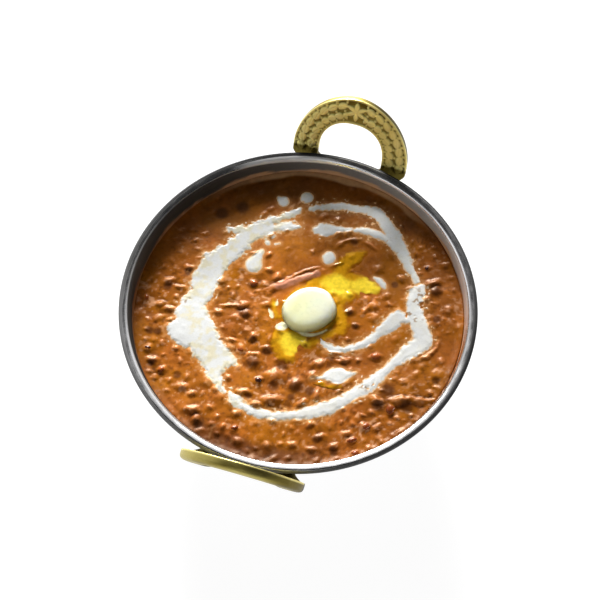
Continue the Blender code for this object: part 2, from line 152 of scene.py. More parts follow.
CREAM_DROPS = (
    ((-14, 64, 3.5), (-14.2, 63.6, 3.3)),
    ((-27.5, 60, 1.4), (-24.6, 58.8, 3.2)),
    ((5.5, 34.6, 3.7), (5.6, 34.2, 3.7)),
    ((-26.8, 29, 1.7), (-27.6, 25.5, 2.6), (-28.5, 20.8, 4.7)),
    ((29.8, 30, 1.2), (32.6, 29, 2), (35.2, 26.6, 1.8)),
    ((15, -29.6, 0.9), (19.5, -28, 1.4), (23.5, -25.8, 3.4), (26.8, -25, 4.6), (30, -23.4, 2.8),
     (34.2, -21, 0.9)),
    ((-25.5, 34.5, 1.8), (-25.4, 34.3, 1.8)),
    ((-21.6, 34.6, 0.9), (-19.8, 35.6, 1.1)),
    ((-23.9, 37.6, 0.9), (-23.2, 38.9, 1)),
)
CREAM_AREA = (-62, 70, -62, 71)
CREAM_GRID = 0.4
CREAM_SHOULDER = 2.4  # mm from its edge to its full thickness
# The edges of cream and ghee sink under the gravy, in mm
FILM_SINK, FILM_DEEPEST, FILM_MARGIN, FILM_FOOT = 0.3, 0.5, 1.1, 0.9


def smoothstep(value):
    value = np.clip(value, 0.0, 1.0)
    return value * value * (3 - 2 * value)


def between(grid, i, j, next_i, next_j, s, t):
    """A grid's value at the shares s and t of the way from (i, j) to (next_i, next_j)."""
    low = grid[i, j] * (1 - s) + grid[next_i, j] * s
    high = grid[i, next_j] * (1 - s) + grid[next_i, next_j] * s
    return low * (1 - t) + high * t


def turned(x, y, degrees):
    """x and y seen along and across a heading."""
    turn = math.radians(degrees)
    return x * math.cos(turn) + y * math.sin(turn), y * math.cos(turn) - x * math.sin(turn)


def value_noise(x, y, cell, seed):
    """Smooth noise from -1 to 1 whose features are about one cell across."""
    size = 97
    table = np.random.default_rng(seed).uniform(-1, 1, (size, size))
    u = x / cell + 1000
    v = y / cell + 1000
    i = np.floor(u).astype(int)
    j = np.floor(v).astype(int)
    s = smoothstep(u - i)
    t = smoothstep(v - j)
    return between(table, i % size, j % size, (i + 1) % size, (j + 1) % size, s, t)


def cloud_noise(x, y, cell, seed, octaves=3):
    """Several octaves of value noise, from about -1 to 1."""
    total = 0
    for k in range(octaves):
        total = total + value_noise(x, y, cell / 2**k, seed + k) / 2**k
    return total / (2 - 2.0 ** (1 - octaves))


# ---------------------------------------------------------------- meshes and materials


def add_to_scene(name, data):
    thing = bpy.data.objects.new(name, data)
    bpy.context.scene.collection.objects.link(thing)
    return thing


def make_object(name, vertices, faces, material):
    mesh = bpy.data.meshes.new(name)
    mesh.from_pydata([tuple(v) for v in vertices], [], [tuple(f) for f in faces])
    mesh.update()
    mesh.shade_smooth()
    mesh.materials.append(material)
    return add_to_scene(name, mesh)


def make_grid_object(name, vertices, quads, material):
    """As make_object, for large numpy arrays of vertices and quads."""
    mesh = bpy.data.meshes.new(name)
    mesh.vertices.add(len(vertices))
    mesh.vertices.foreach_set("co", np.asarray(vertices, np.float32).ravel())
    mesh.loops.add(quads.size)
    mesh.loops.foreach_set("vertex_index", quads.astype(np.int32).ravel())
    mesh.polygons.add(len(quads))
    mesh.polygons.foreach_set("loop_start", np.arange(0, quads.size, 4, dtype=np.int32))
    mesh.update(calc_edges=True)
    mesh.validate()
    mesh.shade_smooth()
    mesh.materials.append(material)
    return add_to_scene(name, mesh)


def points_of(thing):
    return np.array([v.co for v in thing.data.vertices])


def paint(thing, name, colours):
    """Stores one linear colour, or one grey value, per vertex."""
    attribute = thing.data.color_attributes.new(name, "FLOAT_COLOR", "POINT")
    rgba = np.ones((len(thing.data.vertices), 4), np.float32)
    rgba[:, :3] = colours
    attribute.data.foreach_set("color", rgba.ravel())


def linear(red, green, blue):
    """Linear colour of an sRGB colour given from 0 to 255."""
    srgb = np.array((red, green, blue)) / 255
    return np.where(srgb <= 0.04045, srgb / 12.92, ((srgb + 0.055) / 1.055) ** 2.4)


def mixed(first, second, share):
    share = np.asarray(share)[..., None]
    return first * (1 - share) + second * share


def layered(colour, *coats):
    """Lays coats of (colour, share) over a colour, one after the other."""
    for coat, share in coats:
        colour = mixed(colour, coat, share)
    return colour


class Shader:
    """A Principled material and short names for the nodes in front of it."""

    def __init__(self, name, roughness, metallic=0.0, specular=0.5):
        self.material = bpy.data.materials.new(name)
        self.material.use_nodes = True
        self.nodes = self.material.node_tree.nodes
        self.links = self.material.node_tree.links
        self.surface = self.nodes["Principled BSDF"]
        self.surface.inputs["Roughness"].default_value = roughness
        self.surface.inputs["Metallic"].default_value = metallic
        self.surface.inputs["Specular IOR Level"].default_value = specular
        self.place = self.nodes.new("ShaderNodeTexCoord").outputs["Object"]

    def put(self, value, socket):
        if hasattr(value, "is_output"):
            self.links.new(value, socket)
        else:
            socket.default_value = value

    def set(self, **values):
        """Sets sockets; a name's underscores stand for spaces."""
        for name, value in values.items():
            self.put(value, self.surface.inputs[name.replace("_", " ").title()])

    def noise(self, size, detail=3.0, stretch=(1, 1, 1), distortion=0.0):
        mapping = self.nodes.new("ShaderNodeMapping")
        mapping.inputs["Scale"].default_value = stretch
        self.links.new(self.place, mapping.inputs["Vector"])
        node = self.nodes.new("ShaderNodeTexNoise")
        node.inputs["Scale"].default_value = 1 / size
        node.inputs["Detail"].default_value = detail
        node.inputs["Distortion"].default_value = distortion
        self.links.new(mapping.outputs["Vector"], node.inputs["Vector"])
        return node.outputs["Fac"]

    def ramp(self, value, *stops):
        """stops are (position, colour or number)."""
        node = self.nodes.new("ShaderNodeValToRGB")
        self.links.new(value, node.inputs["Fac"])
        elements = node.color_ramp.elements
        while len(elements) < len(stops):
            elements.new(0.5)
        for element, (position, colour) in zip(elements, stops):
            element.position = position
            grey = isinstance(colour, (int, float))
            element.color = (colour, colour, colour, 1) if grey else (*colour, 1)
        return node.outputs["Color"]

    def spread(self, noise, low, high):
        """From low to high over the usual range of a noise."""
        return self.ramp(noise, (0.3, low), (0.7, high))

    def mix(self, share, first, second, blend="MIX"):
        node = self.nodes.new("ShaderNodeMix")
        node.data_type = "RGBA"
        node.blend_type = blend
        self.put(share, node.inputs[0])
        self.put(first, node.inputs[6])
        self.put(second, node.inputs[7])
        return node.outputs[2]

    def painted(self, name):
        node = self.nodes.new("ShaderNodeVertexColor")
        node.layer_name = name
        return node.outputs["Color"]

    def colour_by_tone(self, shade):
        """The painted tone times a shade is the surface's colour."""
        self.set(base_color=self.mix(1.0, self.painted("tone"), shade, "MULTIPLY"))

    def bump(self, height, strength, distance):
        node = self.nodes.new("ShaderNodeBump")
        node.inputs["Strength"].default_value = strength
        node.inputs["Distance"].default_value = distance
        self.links.new(height, node.inputs["Height"])
        previous = self.surface.inputs["Normal"]
        if previous.is_linked:
            self.links.new(previous.links[0].from_socket, node.inputs["Normal"])
        self.links.new(node.outputs["Normal"], previous)


def steel_material():
    """Brushed steel; where the painted dullness is high it is rough and not metallic, as on the
    film, the walls and the bead, whose dark painted tone is a painted dark reflection.
    """
    shader = Shader("steel_look", 0.26, 1.0, 0.0)
    streaks = shader.noise(6 * MM, 4, (1, 1, 14))
    cloudy = shader.noise(22 * MM, 2)
    base = shader.spread(cloudy, (0.84, 0.84, 0.86), (0.94, 0.94, 0.95))
    dull_share = shader.painted("dullness")
    shader.colour_by_tone(base)
    polish = shader.spread(streaks, 0.17, 0.26)
    shader.set(roughness=shader.mix(dull_share, polish, (0.8, 0.8, 0.8, 1)))
    shader.set(metallic=shader.ramp(dull_share, (0.0, 1.0), (0.95, 0.0)))
    shader.bump(streaks, 0.02, 0.1 * MM)
    return shader.material


def brass_material():
    shader = Shader("brass_look", 0.34, 1.0)
    grain = shader.noise(1.1 * MM, 4)
    cloudy = shader.noise(9 * MM, 3)
    bright = shader.spread(cloudy, (0.80, 0.69, 0.24), (0.94, 0.84, 0.35))
    shader.colour_by_tone(bright)
    shader.set(roughness=shader.spread(grain, 0.42, 0.55))
    shader.bump(grain, 0.2, 0.12 * MM)
    return shader.material


def rivet_material():
    shader = Shader("rivet_look", 0.3, 1.0)
    grain = shader.noise(0.8 * MM, 4)
    shader.set(base_color=shader.spread(grain, (0.42, 0.40, 0.37), (0.6, 0.58, 0.55)))
    shader.bump(grain, 0.2, 0.1 * MM)
    return shader.material


def gravy_material():
    shader = Shader("gravy_look", 0.24, specular=0.24)
    fine = shader.noise(1.1 * MM, 3)
    spots = shader.noise(3.2 * MM, 3, distortion=0.8)
    lively = shader.ramp(spots, (0.3, 0.86), (0.55, 1.0), (0.75, 1.12))
    shader.colour_by_tone(lively)
    gloss = shader.spread(fine, 0.26, 0.42)
    shader.set(roughness=shader.mix(shader.painted("matt"), gloss, (0.45, 0.45, 0.45, 1)))
    shader.set(specular_tint=(1.0, 0.72, 0.5, 1))
    shader.bump(fine, 0.2, 0.2 * MM)
    return shader.material


def lentil_material():
    shader = Shader("lentil_look", 0.2, specular=0.3)
    fine = shader.noise(0.7 * MM, 3)
    shader.set(base_color=shader.painted("tone"), specular_tint=(1.0, 0.86, 0.8, 1))
    shader.set(roughness=shader.spread(fine, 0.16, 0.3))
    shader.bump(fine, 0.2, 0.15 * MM)
    return shader.material


def food_material(name, roughness, specular, grain, shades, gloss, bump, **sockets):
    """A painted food. Its shade, bump and, if gloss is given, roughness follow a fine
    grain of (size, detail)."""
    shader = Shader(name, roughness, specular=specular)
    fine = shader.noise(*grain)
    shader.colour_by_tone(shader.spread(fine, *shades))
    if gloss:
        shader.set(roughness=shader.spread(fine, *gloss))
    shader.set(**sockets)
    shader.bump(fine, *bump)
    return shader.material


def cream_material():
    return food_material("cream_look", 0.4, 0.25, (0.8 * MM, 4), (0.95, 1.03), (0.24, 0.42),
                         (0.08, 0.12 * MM))


def butter_material():
    return food_material("butter_look", 0.4, 0.3, (1.6 * MM, 3), (0.97, 1.02), (0.24, 0.4),
                         (0.15, 0.2 * MM), subsurface_weight=1.0, subsurface_scale=1.0,
                         subsurface_radius=(14 * MM, 12 * MM, 8 * MM))


def ghee_material():
    return food_material("ghee_look", 0.12, 0.3, (1.4 * MM, 3), (0.85, 1.1), None,
                         (0.15, 0.15 * MM), specular_tint=(1.0, 0.95, 0.6, 1))


def floor_material():
    shader = Shader("floor_look", 0.8, specular=0.0)
    speckle = shader.noise(30 * MM, 2)
    shader.set(base_color=shader.spread(speckle, FLOOR_SHADE, 1.04 * FLOOR_SHADE))
    shader.set(emission_color=(1, 1, 1, 1), emission_strength=FLOOR_GLOW)
    return shader.material


# ---------------------------------------------------------------- bowl


def offset_profile(profile, distance):
    """Moves an open (r, z) profile to its left by distance."""
    points = np.array(profile)
    run = np.gradient(points, axis=0)
    run /= np.linalg.norm(run, axis=1, keepdims=True)
    return points + distance * np.column_stack((-run[:, 1], run[:, 0]))


def belly_profile():
    """The outside of the belly as (r, z) points, from the base up."""
    angle = np.linspace(0, math.pi / 2, BELLY_STEPS + 1)
    power = 2 / BELLY_EXPONENT
    radius = BASE_RADIUS + (BELLY_RADIUS - BASE_RADIUS) * np.sin(angle) ** power
    height = BELLY_TOP * (1 - np.maximum(np.cos(angle), 0) ** power)
    return np.column_stack((radius, height))


def inner_radius(height, inset=0.0):
    """The belly's inner radius at a height, less an inset."""
    inside = offset_profile(belly_profile(), SHEET + inset)
    return np.interp(height, inside[:, 1], inside[:, 0])


def lip_profile():
    """Neck, rolled bead and inner slope, from the belly's top over the rim and back."""
    centre = np.array((RIM_RADIUS - BEAD_RADIUS, RIM_HEIGHT - BEAD_RADIUS))
    turn = np.radians(np.linspace(-115, 90, 19))
    bead = centre + BEAD_RADIUS * np.column_stack((np.cos(turn), np.sin(turn)))
    neck = np.array(((BELLY_RADIUS + 0.12 * MM, BELLY_TOP + 1.2 * MM),
                     (BELLY_RADIUS + 0.5 * MM, BELLY_TOP + NECK_RISE),
                     (BELLY_RADIUS + 1.1 * MM, BELLY_TOP + NECK_RISE + 0.6 * MM)))
    inner_top = BELLY_RADIUS - SHEET
    slope = np.array(((RIM_RADIUS - 2.8 * MM, RIM_HEIGHT - 0.2 * MM),
                      (RIM_RADIUS - 4.0 * MM, RIM_HEIGHT - 0.75 * MM),
                      (inner_top + 1.0 * MM, RIM_HEIGHT - 1.6 * MM),
                      (inner_top + 0.45 * MM, RIM_HEIGHT - 2.8 * MM),
                      (inner_top + 0.12 * MM, RIM_HEIGHT - 4.4 * MM)))
    inside = curve_through(np.vstack((bead[-1:], slope)), 0.25 * MM)
    return np.vstack((neck, bead, inside[1:]))


def tube_quads(shape):
    """Quads that join a grid of (sections, points round each section), closed around."""
    index = np.arange(shape[0] * shape[1]).reshape(shape)
    after = np.roll(index, -1, axis=1)
    return np.stack((index[:-1], after[:-1], after[1:], index[1:]), -1).reshape(-1, 4)


def turned_grid(profile, segments):
    """Vertices and quads of an (r, z) profile turned about Z."""
    angle = np.linspace(0, 2 * math.pi, segments, endpoint=False)
    radius = profile[:, 0][:, None]
    height = np.broadcast_to(profile[:, 1][:, None], (len(profile), segments))
    vertices = np.stack((radius * np.cos(angle), radius * np.sin(angle), height), -1)
    return vertices.reshape(-1, 3), tube_quads(height.shape)


def make_bowl(material):
    outside = belly_profile()
    inside = offset_profile(outside, SHEET)[::-1]
    rings = (0.3, 0.6, 0.9)
    base = np.array([(BASE_RADIUS * share, 0) for share in rings])
    floor_z = inside[-1][1]
    floor = np.array([(inside[-1][0] * share, floor_z) for share in reversed(rings)])
    profile = np.vstack((base, outside, lip_profile(), inside, floor))
    vertices, quads = turned_grid(profile, BOWL_SEGMENTS)
    bowl = make_grid_object("bowl_shell", vertices, quads, material)
    close_holes(bowl)
    paint_bowl(bowl)
    return bowl


def paint_bowl(bowl):
    """Tone and dullness by height and side: inner walls in painted shade, a dried film with
    painted light and shade, a darker outside, and a bead painted dark as a painted dark
    reflection.
    """
    x, y, height = points_of(bowl).T
    radius = np.hypot(x, y)
    around = np.arctan2(y, x) * 60
    near, far = np.clip(-y / RIM_RADIUS, 0, 1), np.clip(y / RIM_RADIUS, 0, 1)
    left, right = np.clip(-x / RIM_RADIUS, 0, 1), np.clip(x / RIM_RADIUS, 0, 1)
    slack = 0.3 + 0.4 * (height > BELLY_TOP) + 2.2 * (height > BELLY_TOP + 3 * MM)
    inner = (radius < inner_radius(height) + slack * MM) & (height > 3 * MM)
    reach = 2.4 + 1.3 * value_noise(around, around * 0, 9, 5)
    reach += 0.7 * value_noise(around, around * 0, 3, 6)
    film = smoothstep((reach * MM - (height - gravy_base(x, y))) / (1.2 * MM)) * inner
    upper_left = far * np.clip(3 * left, 0, 1) * (1 - smoothstep((left - 0.4) / 0.25))
    below = 1.1 + (0.5 * far + 0.7 * upper_left) * (1 - left) - 0.9 * left**2
    wall = inner * smoothstep((RIM_HEIGHT - below * MM - height) / (0.7 * MM))
    # Painted shade on the inner wall: dark overall, lightest on the right, darkest to the left
    # and near
    shade = 1 + 1.2 * right**2 - 0.65 * near - 0.75 * left - 0.48 * far
    belly = (~inner & (height < BELLY_TOP)).astype(float)
    # A dried film of gravy; below, it is painted lighter on the far side, where shade falls, and
    # darker near
    dried = mixed(linear(184, 132, 88), linear(184, 146, 112), far)
    # Where the bead's painted dark reflection begins and how dark it is, set side by side
    start = RIM_RADIUS - (2.4 + 0.4 * left - 1.2 * near - 0.5 * far + 0.9 * upper_left) * MM
    edge = smoothstep((radius - start) / (0.6 * MM))
    bead = 0.01 + 0.06 * near + 0.025 * far + 0.16 * near * (0.5 + left)
    bead += 0.05 * right + 0.08 * left * (1 - far)
    tone = layered(
        np.ones((len(x), 3)),
        (np.array((0.52, 0.53, 0.55)), belly),
        (np.array((0.50, 0.47, 0.44)) * shade[:, None], wall),
        (dried * (1 - 0.7 * near + 0.6 * far)[:, None], film),
        (np.ones(3) * bead[:, None], edge),
    )
    dulled = smoothstep((radius - start - 0.3 * MM) / (0.7 * MM))
    hazy = 0.85 * inner * (height > BELLY_TOP) * (1 - wall) * (1 - edge) * upper_left
    dull_share = np.maximum.reduce([dulled, film, hazy, 0.9 * wall * np.maximum(far, left)])
    paint(bowl, "dullness", dull_share[:, None])
    paint(bowl, "tone", tone)


def close_holes(thing):
    """Fills the open ends of a turned or drawn shell with flat faces."""
    work = bmesh.new()
    work.from_mesh(thing.data)
    rims = [e for e in work.edges if e.is_boundary]
    bmesh.ops.holes_fill(work, edges=rims, sides=BOWL_SEGMENTS)
    bmesh.ops.recalc_face_normals(work, faces=work.faces)
    work.to_mesh(thing.data)
    work.free()
    thing.data.shade_smooth()


# ---------------------------------------------------------------- gravy


def gravy_base(x, y):
    """The gravy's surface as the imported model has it: tilt, slow waves and meniscus."""
    height = GRAVY_LEVEL + TILT_RISE * x / BELLY_RADIUS
    for rise, wavelength, heading, phase in WAVES:
        along = turned(x, y, heading)[0]
        height = height + rise * MM * np.sin(2 * math.pi * along / (wavelength * MM) + phase)
    edge = inner_radius(GRAVY_LEVEL, 0.3 * MM) - np.hypot(x, y)
    return height + MENISCUS_RISE * (1 - smoothstep(edge / MENISCUS_REACH))


# Notable lumps: x, y, half length, half width (mm), heading (degrees), rise (mm)
NAMED_LUMPS = (
    (-14, -29, 4.2, 3.6, 0, 1.3), (-2, -33.5, 5, 4, 20, 1.5), (8, -34.5, 4, 3, 60, 1.2),
    (0, -45.5, 5.6, 2.4, 18, 1.4), (-13.5, -45, 4, 1.8, 8, 1.1), (-6, -49.8, 3.6, 1.4, 12, 1),
    (-17.5, -17, 2.8, 2.3, 30, 1.1), (-9.5, -21, 2.6, 2, 0, 0.9), (16, -21.5, 4.4, 2, 38, 1.1),
    (15, -28.5, 2.8, 2.2, 80, 1), (22, -14, 3.4, 1.8, 10, 0.9), (28, -16, 3, 1.6, 25, 0.9),
    (41, -10.5, 3.2, 2.2, 15, 1), (57.5, 35, 4.8, 2.2, 35, 1.3), (59.5, 31, 3, 2.6, 50, 1),
    (58, -29, 6.5, 2.2, 25, 1.5), (47.5, -32, 3.4, 2, -10, 1.3), (54.5, -34.5, 2.6, 3.4, 0, 1.1),
    (66, -27, 5, 2, 5, 1.2), (61, -45.5, 4, 2, 50, 1), (45.5, -46.5, 3, 2.2, 30, 1.1),
    (51, -45, 3.4, 1.6, 50, 1), (38, -52.2, 3.4, 1.5, 25, 1), (41.5, -54.6, 3, 1.4, 35, 0.9),
    (27, -57.2, 3.4, 1.7, 22, 1), (21, -52.4, 2.6, 1.7, 50, 0.9), (34, -59.5, 3, 1.8, 30, 1),
    (15.5, -64.6, 3, 1.8, 10, 1), (24.5, -64, 3, 1.5, 15, 0.9), (14, -43.4, 3.6, 1.6, 40, 1),
    (-34, -60.5, 4.6, 2, 15, 1.1), (-30.5, -64.5, 2.4, 2, 0, 1), (-42, -50.5, 3.2, 1.9, 10, 1),
    (-36, -52.6, 2.6, 1.6, 20, 0.9), (-59.5, -41.5, 3, 2.4, 0, 1.2), (-54, -45, 2.4, 2, 60, 1),
    (-9, -70, 3, 2.2, -30, 1), (-65.5, 1, 3.2, 2.2, 20, 1.2), (-59.5, -1, 3.4, 1.5, -10, 0.9),
    (-60, -13.4, 3.4, 1.6, 15, 1), (-65.5, -12.4, 2.6, 1.8, 30, 1), (-25.5, 10.8, 2.6, 2.2, 0, 1),
    (-58, 10.6, 2.6, 1.5, 10, 0.9), (-27.5, -1.8, 3.4, 1.8, 30, 1), (-24.5, -5.5, 2.4, 2, 0, 1),
    (23, 9.2, 2.6, 2.2, 30, 1), (27.6, 2.6, 2, 1.6, 0, 0.9), (-8.5, -37.6, 2.2, 2, 0, 1),
)
# Dark beans seen under the surface, and hollows painted dark as shade: x, y and reach in mm
DARKS = (
    (-14, -29, 4.2), (9.5, -35.5, 4.6), (-1, -38.5, 3.4), (-9, -21.5, 3.2), (-16.8, -18.3, 2.4),
    (-25, -6, 3), (-25.5, 10.5, 2.8), (-59.6, -42.4, 2.6), (-52, 44, 4), (59.5, 31, 3.6),
    (51, -25.5, 4.2), (48.5, -34.5, 3.4), (61.5, -31, 4), (27.4, 2.2, 2.2), (22.5, 8.5, 2.6),
    (-65, -2.4, 2.6), (-57.5, 8, 2.6), (-56, -5.5, 2.4), (0, -26.5, 3.4), (5, -49.5, 2.6),
    (-29, -66.5, 2.8), (26, -58.5, 2.6), (16, -36, 3), (35, -62.5, 2.4), (71, -14.5, 2.4),
    (-62, -26.5, 2.4), (-46, -45.5, 2.4), (-66, -27, 2.4), (-43, 50, 4), (21, -16.5, 2.2),
    (64, 16.5, 2.4), (8.5, -41.6, 2.2), (-10.5, -46.4, 2.2), (40, 29, 2.2), (15, 46.5, 2.4),
)
# Ridges of skin and gravy: points (x, y), half width and rise in millimetres
RIDGES = (
    (((-18, 9), (-12, 14), (-6, 19), (0, 23), (4.6, 26)), 1.5, 0.75),
    (((-15, 13), (-9, 19.4), (-3, 24.6), (3, 27.6)), 0.6, 0.8),
    (((8, 40.5), (9.4, 44.4), (13.5, 47.4), (17, 48.8)), 0.6, 0.5),
    (((20, 48.2), (24, 46.4), (27, 44.6)), 0.6, 0.5),
    (((12.4, 37), (12.2, 33), (10, 31), (7.5, 30.2)), 0.6, 0.5),
    (((28.5, 8.5), (31, 13), (33.6, 19)), 0.7, 0.6),
    (((67.5, 6), (67, 1), (65, -3.5), (61, -6)), 0.8, 0.7),
    (((-36.5, -5.4), (-32, -3.4), (-28, -2)), 0.8, 0.6),
    (((-18, -28), (-16.4, -25.8), (-13, -25), (-10.8, -27)), 0.8, 0.8),
    (((24, -18), (28, -17), (30.4, -14)), 0.6, 0.6),
    (((62, -26), (67, -26.6), (73, -25)), 1, 0.8),
    (((15.5, 10), (18, 5), (17, 0), (13, -4)), 0.6, 0.3),
)
# Where lentils lie close under the surface: x, y, reach (mm), share
CROWDS = (
    (-62, -8, 22, 0.8), (-56, -42, 24, 0.45), (-28, -60, 26, 0.55), (0, -64, 22, 0.3),
    (30, -58, 24, 0.5), (52, -42, 20, 0.8), (66, -18, 18, 0.5), (64, 22, 18, 0.5),
    (52, 50, 12, 0.5), (-27, 6, 16, 0.75), (-22, -20, 18, 0.7), (20, -22, 20, 0.75),
    (0, -40, 18, 0.8), (34, 14, 12, 0.4), (-38, 0, 10, 0.4), (-62, 24, 12, 0.5),
)
LENTIL_TRIES = 6000
SCATTER_RADIUS = 77
CLEARANCE = 1.15  # room round a lentil, by its half length
HOLLOW_REACH = 1.6  # hollows are places lower than the mean of about this reach, in mm
FIELD_HALF = 81.0  # the lump field covers a square of this half width, in mm
FIELD_STEP = 0.3


def crowding(x, y):
    """Share of places where a lentil lies close under the surface."""
    share = np.zeros_like(x) + 0.04
    for cx, cy, reach, most in CROWDS:
        away = np.hypot(x - cx, y - cy) / reach
        share = np.maximum(share, most * (1 - smoothstep((away - 0.5) / 0.6)))
    return share


def scatter_lentils():
    """Rows of x, y, half length, half width, heading and rise, in mm and degrees."""
    rng = np.random.default_rng(11)
    rows = [tuple(row) for row in NAMED_LUMPS]
    taken = np.array(NAMED_LUMPS)[:, :2]
    clear = np.array(NAMED_LUMPS)[:, 2] * CLEARANCE
    for _ in range(LENTIL_TRIES):
        radius = SCATTER_RADIUS * math.sqrt(rng.random())
        turn = rng.random() * 2 * math.pi
        x, y = radius * math.cos(turn), radius * math.sin(turn)
        half_length = 1.3 + 2.0 * rng.beta(1.3, 2.2)
        half_width = half_length * rng.uniform(0.55, 0.95)
        heading = rng.normal(30, 40)
        rise = (0.2 + 0.85 * rng.beta(1.4, 2.0)) * (0.7 + 0.3 * (half_width - 1))
        if rng.random() > crowding(np.array(x), np.array(y)):
            continue
        away = np.hypot(taken[:, 0] - x, taken[:, 1] - y)
        if (away < 0.95 * (clear + half_length)).any():
            continue
        taken = np.vstack((taken, (x, y)))
        clear = np.append(clear, half_length * CLEARANCE)
        rows.append((x, y, half_length, half_width, heading, rise))
    return np.array(rows)


LENTILS = scatter_lentils()


def curve_through(points, step):
    """Samples of a Catmull-Rom curve through points, about step apart."""
    points = [np.array(p, float) for p in points]
    samples = []
    for i in range(len(points) - 1):
        before = points[max(i - 1, 0)]
        start = points[i]
        end = points[i + 1]
        after = points[min(i + 2, len(points) - 1)]
        steps = max(1, round(float(np.hypot(*(end - start)[:2])) / step))
        for t in np.arange(steps) / steps:
            curved = start * 2 + (end - before) * t
            curved = curved + (before * 2 - start * 5 + end * 4 - after) * t * t
            curved = curved + (start * 3 - before - end * 3 + after) * t * t * t
            samples.append(curved / 2)
    samples.append(points[-1])
    return np.array(samples)


def samples_of(strokes, step):
    return np.vstack([curve_through(stroke, step) for stroke in strokes])


STROKE_SAMPLES = samples_of(CREAM_STROKES, 0.6)
DROP_SAMPLES = samples_of(CREAM_DROPS, 0.5)


def inside_depth(x, y, samples):
    """How far each point lies inside the union of discs along the samples, in mm."""
    depth = np.full_like(x, -99.0)
    for sx, sy, half_width in samples:
        near = np.nonzero((abs(x - sx) < half_width + 3) & (abs(y - sy) < half_width + 3))[0]
        value = half_width - np.hypot(x[near] - sx, y[near] - sy)
        depth[near] = np.maximum(depth[near], value)
    return depth


def any_cream(x, y):
    point = np.array([x], float), np.array([y], float)
    strokes = inside_depth(*point, STROKE_SAMPLES)[0] > -1.0
    return bool(strokes or inside_depth(*point, DROP_SAMPLES)[0] > -1.0)


def speckled(x, y):
    """Above 0 where gravy shows through the cream in specks."""
    return np.maximum.reduce([
        1 - np.hypot((x - 53) / 7, (y - 20) / 14),
        0.8 - np.hypot((x + 54) / 6, (y + 4) / 9),
        0.9 - np.hypot((x + 49) / 8, (y - 31) / 8),
        0.8 - np.hypot((x - 40) / 9, (y + 25) / 7),
        0.7 - np.hypot((x - 31) / 8, (y - 52) / 5),
    ])


def laid(x, y):
    """Where points of the toppings' level plan land on the gravy, in mm."""
    lift = gravy_base(x * MM, y * MM) / MM - PLAN_LEVEL
    return x + PLAN_SLANT[0] * lift, y + PLAN_SLANT[1] * lift


def plan(x, y):
    """The other way: the point of the plan that lands at x and y."""
    lift = gravy_base(x * MM, y * MM) / MM - PLAN_LEVEL
    return x - PLAN_SLANT[0] * lift, y - PLAN_SLANT[1] * lift


def cream_depth(x, y):
    """Inside depth with the frayed edges of cream that has begun to run."""
    strokes = inside_depth(x, y, STROKE_SAMPLES)
    ragged = 0.4 + 0.6 * smoothstep((-x - 5) / 15)
    fray = cloud_noise(x, y, 3.2, 81) + 1.1 * ragged * cloud_noise(x, y, 1.2, 91, 2)
    close = smoothstep((strokes + 4.5) / 3)
    specks = 2.2 * (cloud_noise(x, y, 1.5, 87, 2) - 0.42) - 3 * (1 - close)
    frayed = np.maximum(strokes + fray, specks)
    drops = inside_depth(x, y, DROP_SAMPLES) + 0.3 * cloud_noise(x, y, 2.5, 85, 2)
    holes = smoothstep((cloud_noise(x, y, 1.9, 95, 2) - 0.3) / 0.25)
    holes *= smoothstep(speckled(x, y) * 2)
    return np.maximum(frayed - 2.6 * holes, drops)


def segment_distance(x, y, start, end):
    run = np.array(end) - np.array(start)
    share = ((x - start[0]) * run[0] + (y - start[1]) * run[1]) / max(run @ run, 1e-9)
    share = np.clip(share, 0, 1)
    return np.hypot(x - start[0] - share * run[0], y - start[1] - share * run[1])


def blurred(grid, reach):
    """Running mean over about 2 * reach + 1 cells each way, done twice."""
    width = 2 * reach + 1
    for axis in (0, 1, 0, 1):
        margins = [(reach + 1, reach) if a == axis else (0, 0) for a in (0, 1)]
        total = np.cumsum(np.pad(grid, margins, mode="edge"), axis=axis)
        high = np.take(total, range(width, total.shape[axis]), axis=axis)
        low = np.take(total, range(total.shape[axis] - width), axis=axis)
        grid = (high - low) / width
    return grid


def lump_field():
    """Heights in mm that lentils, beans and ridges add, and how hollow each place is."""
    side = np.arange(-FIELD_HALF, FIELD_HALF + FIELD_STEP / 2, FIELD_STEP)
    x, y = np.meshgrid(side, side, indexing="ij")
    warped_x = x + 0.8 * cloud_noise(x, y, 2.4, 201, 2)
    warped_y = y + 0.8 * cloud_noise(x, y, 2.4, 205, 2)
    power = 3
    total = np.zeros_like(x)
    for lx, ly, half_length, half_width, heading, rise in LENTILS:
        reach = half_length * 1.5 + 1
        i, j = (np.array((lx, ly)) + FIELD_HALF) // FIELD_STEP
        span = int(reach / FIELD_STEP)
        area = tuple(slice(max(int(k) - span, 0), int(k) + span) for k in (i, j))
        along, across = turned(warped_x[area] - lx, warped_y[area] - ly, heading)
        away = np.hypot(along / half_length, across / half_width)
        total[area] += (rise * (1 - smoothstep(away / 1.35))) ** power
    for points, half_width, rise in RIDGES:
        best = np.full_like(x, 99.0)
        for start, end in zip(points, points[1:]):
            best = np.minimum(best, segment_distance(warped_x, warped_y, start, end))
        ends = np.minimum(np.hypot(x - points[0][0], y - points[0][1]),
                          np.hypot(x - points[-1][0], y - points[-1][1]))
        ridge = rise * (1 - smoothstep(best / (1.9 * half_width))) * smoothstep(0.35 + ends / 4)
        total += ridge**power
    height = total ** (1 / power)
    covered = smoothstep(cream_depth(x.ravel(), y.ravel()).reshape(x.shape) / 1.4)
    height *= 1 - 0.9 * covered
    crowded = crowding(x, y) * (1 - 0.85 * covered)
    skin = 0.3 * cloud_noise(x, y, 4.6, 21, 2) + 0.06 * cloud_noise(x, y, 1.6, 31, 2)
    height += smoothstep(crowded * 1.5) * skin
    height += 0.22 * cloud_noise(x, y, 12, 41, 2)
    return height, blurred(height, round(HOLLOW_REACH / FIELD_STEP)) - height


LUMPS, HOLLOWS = lump_field()


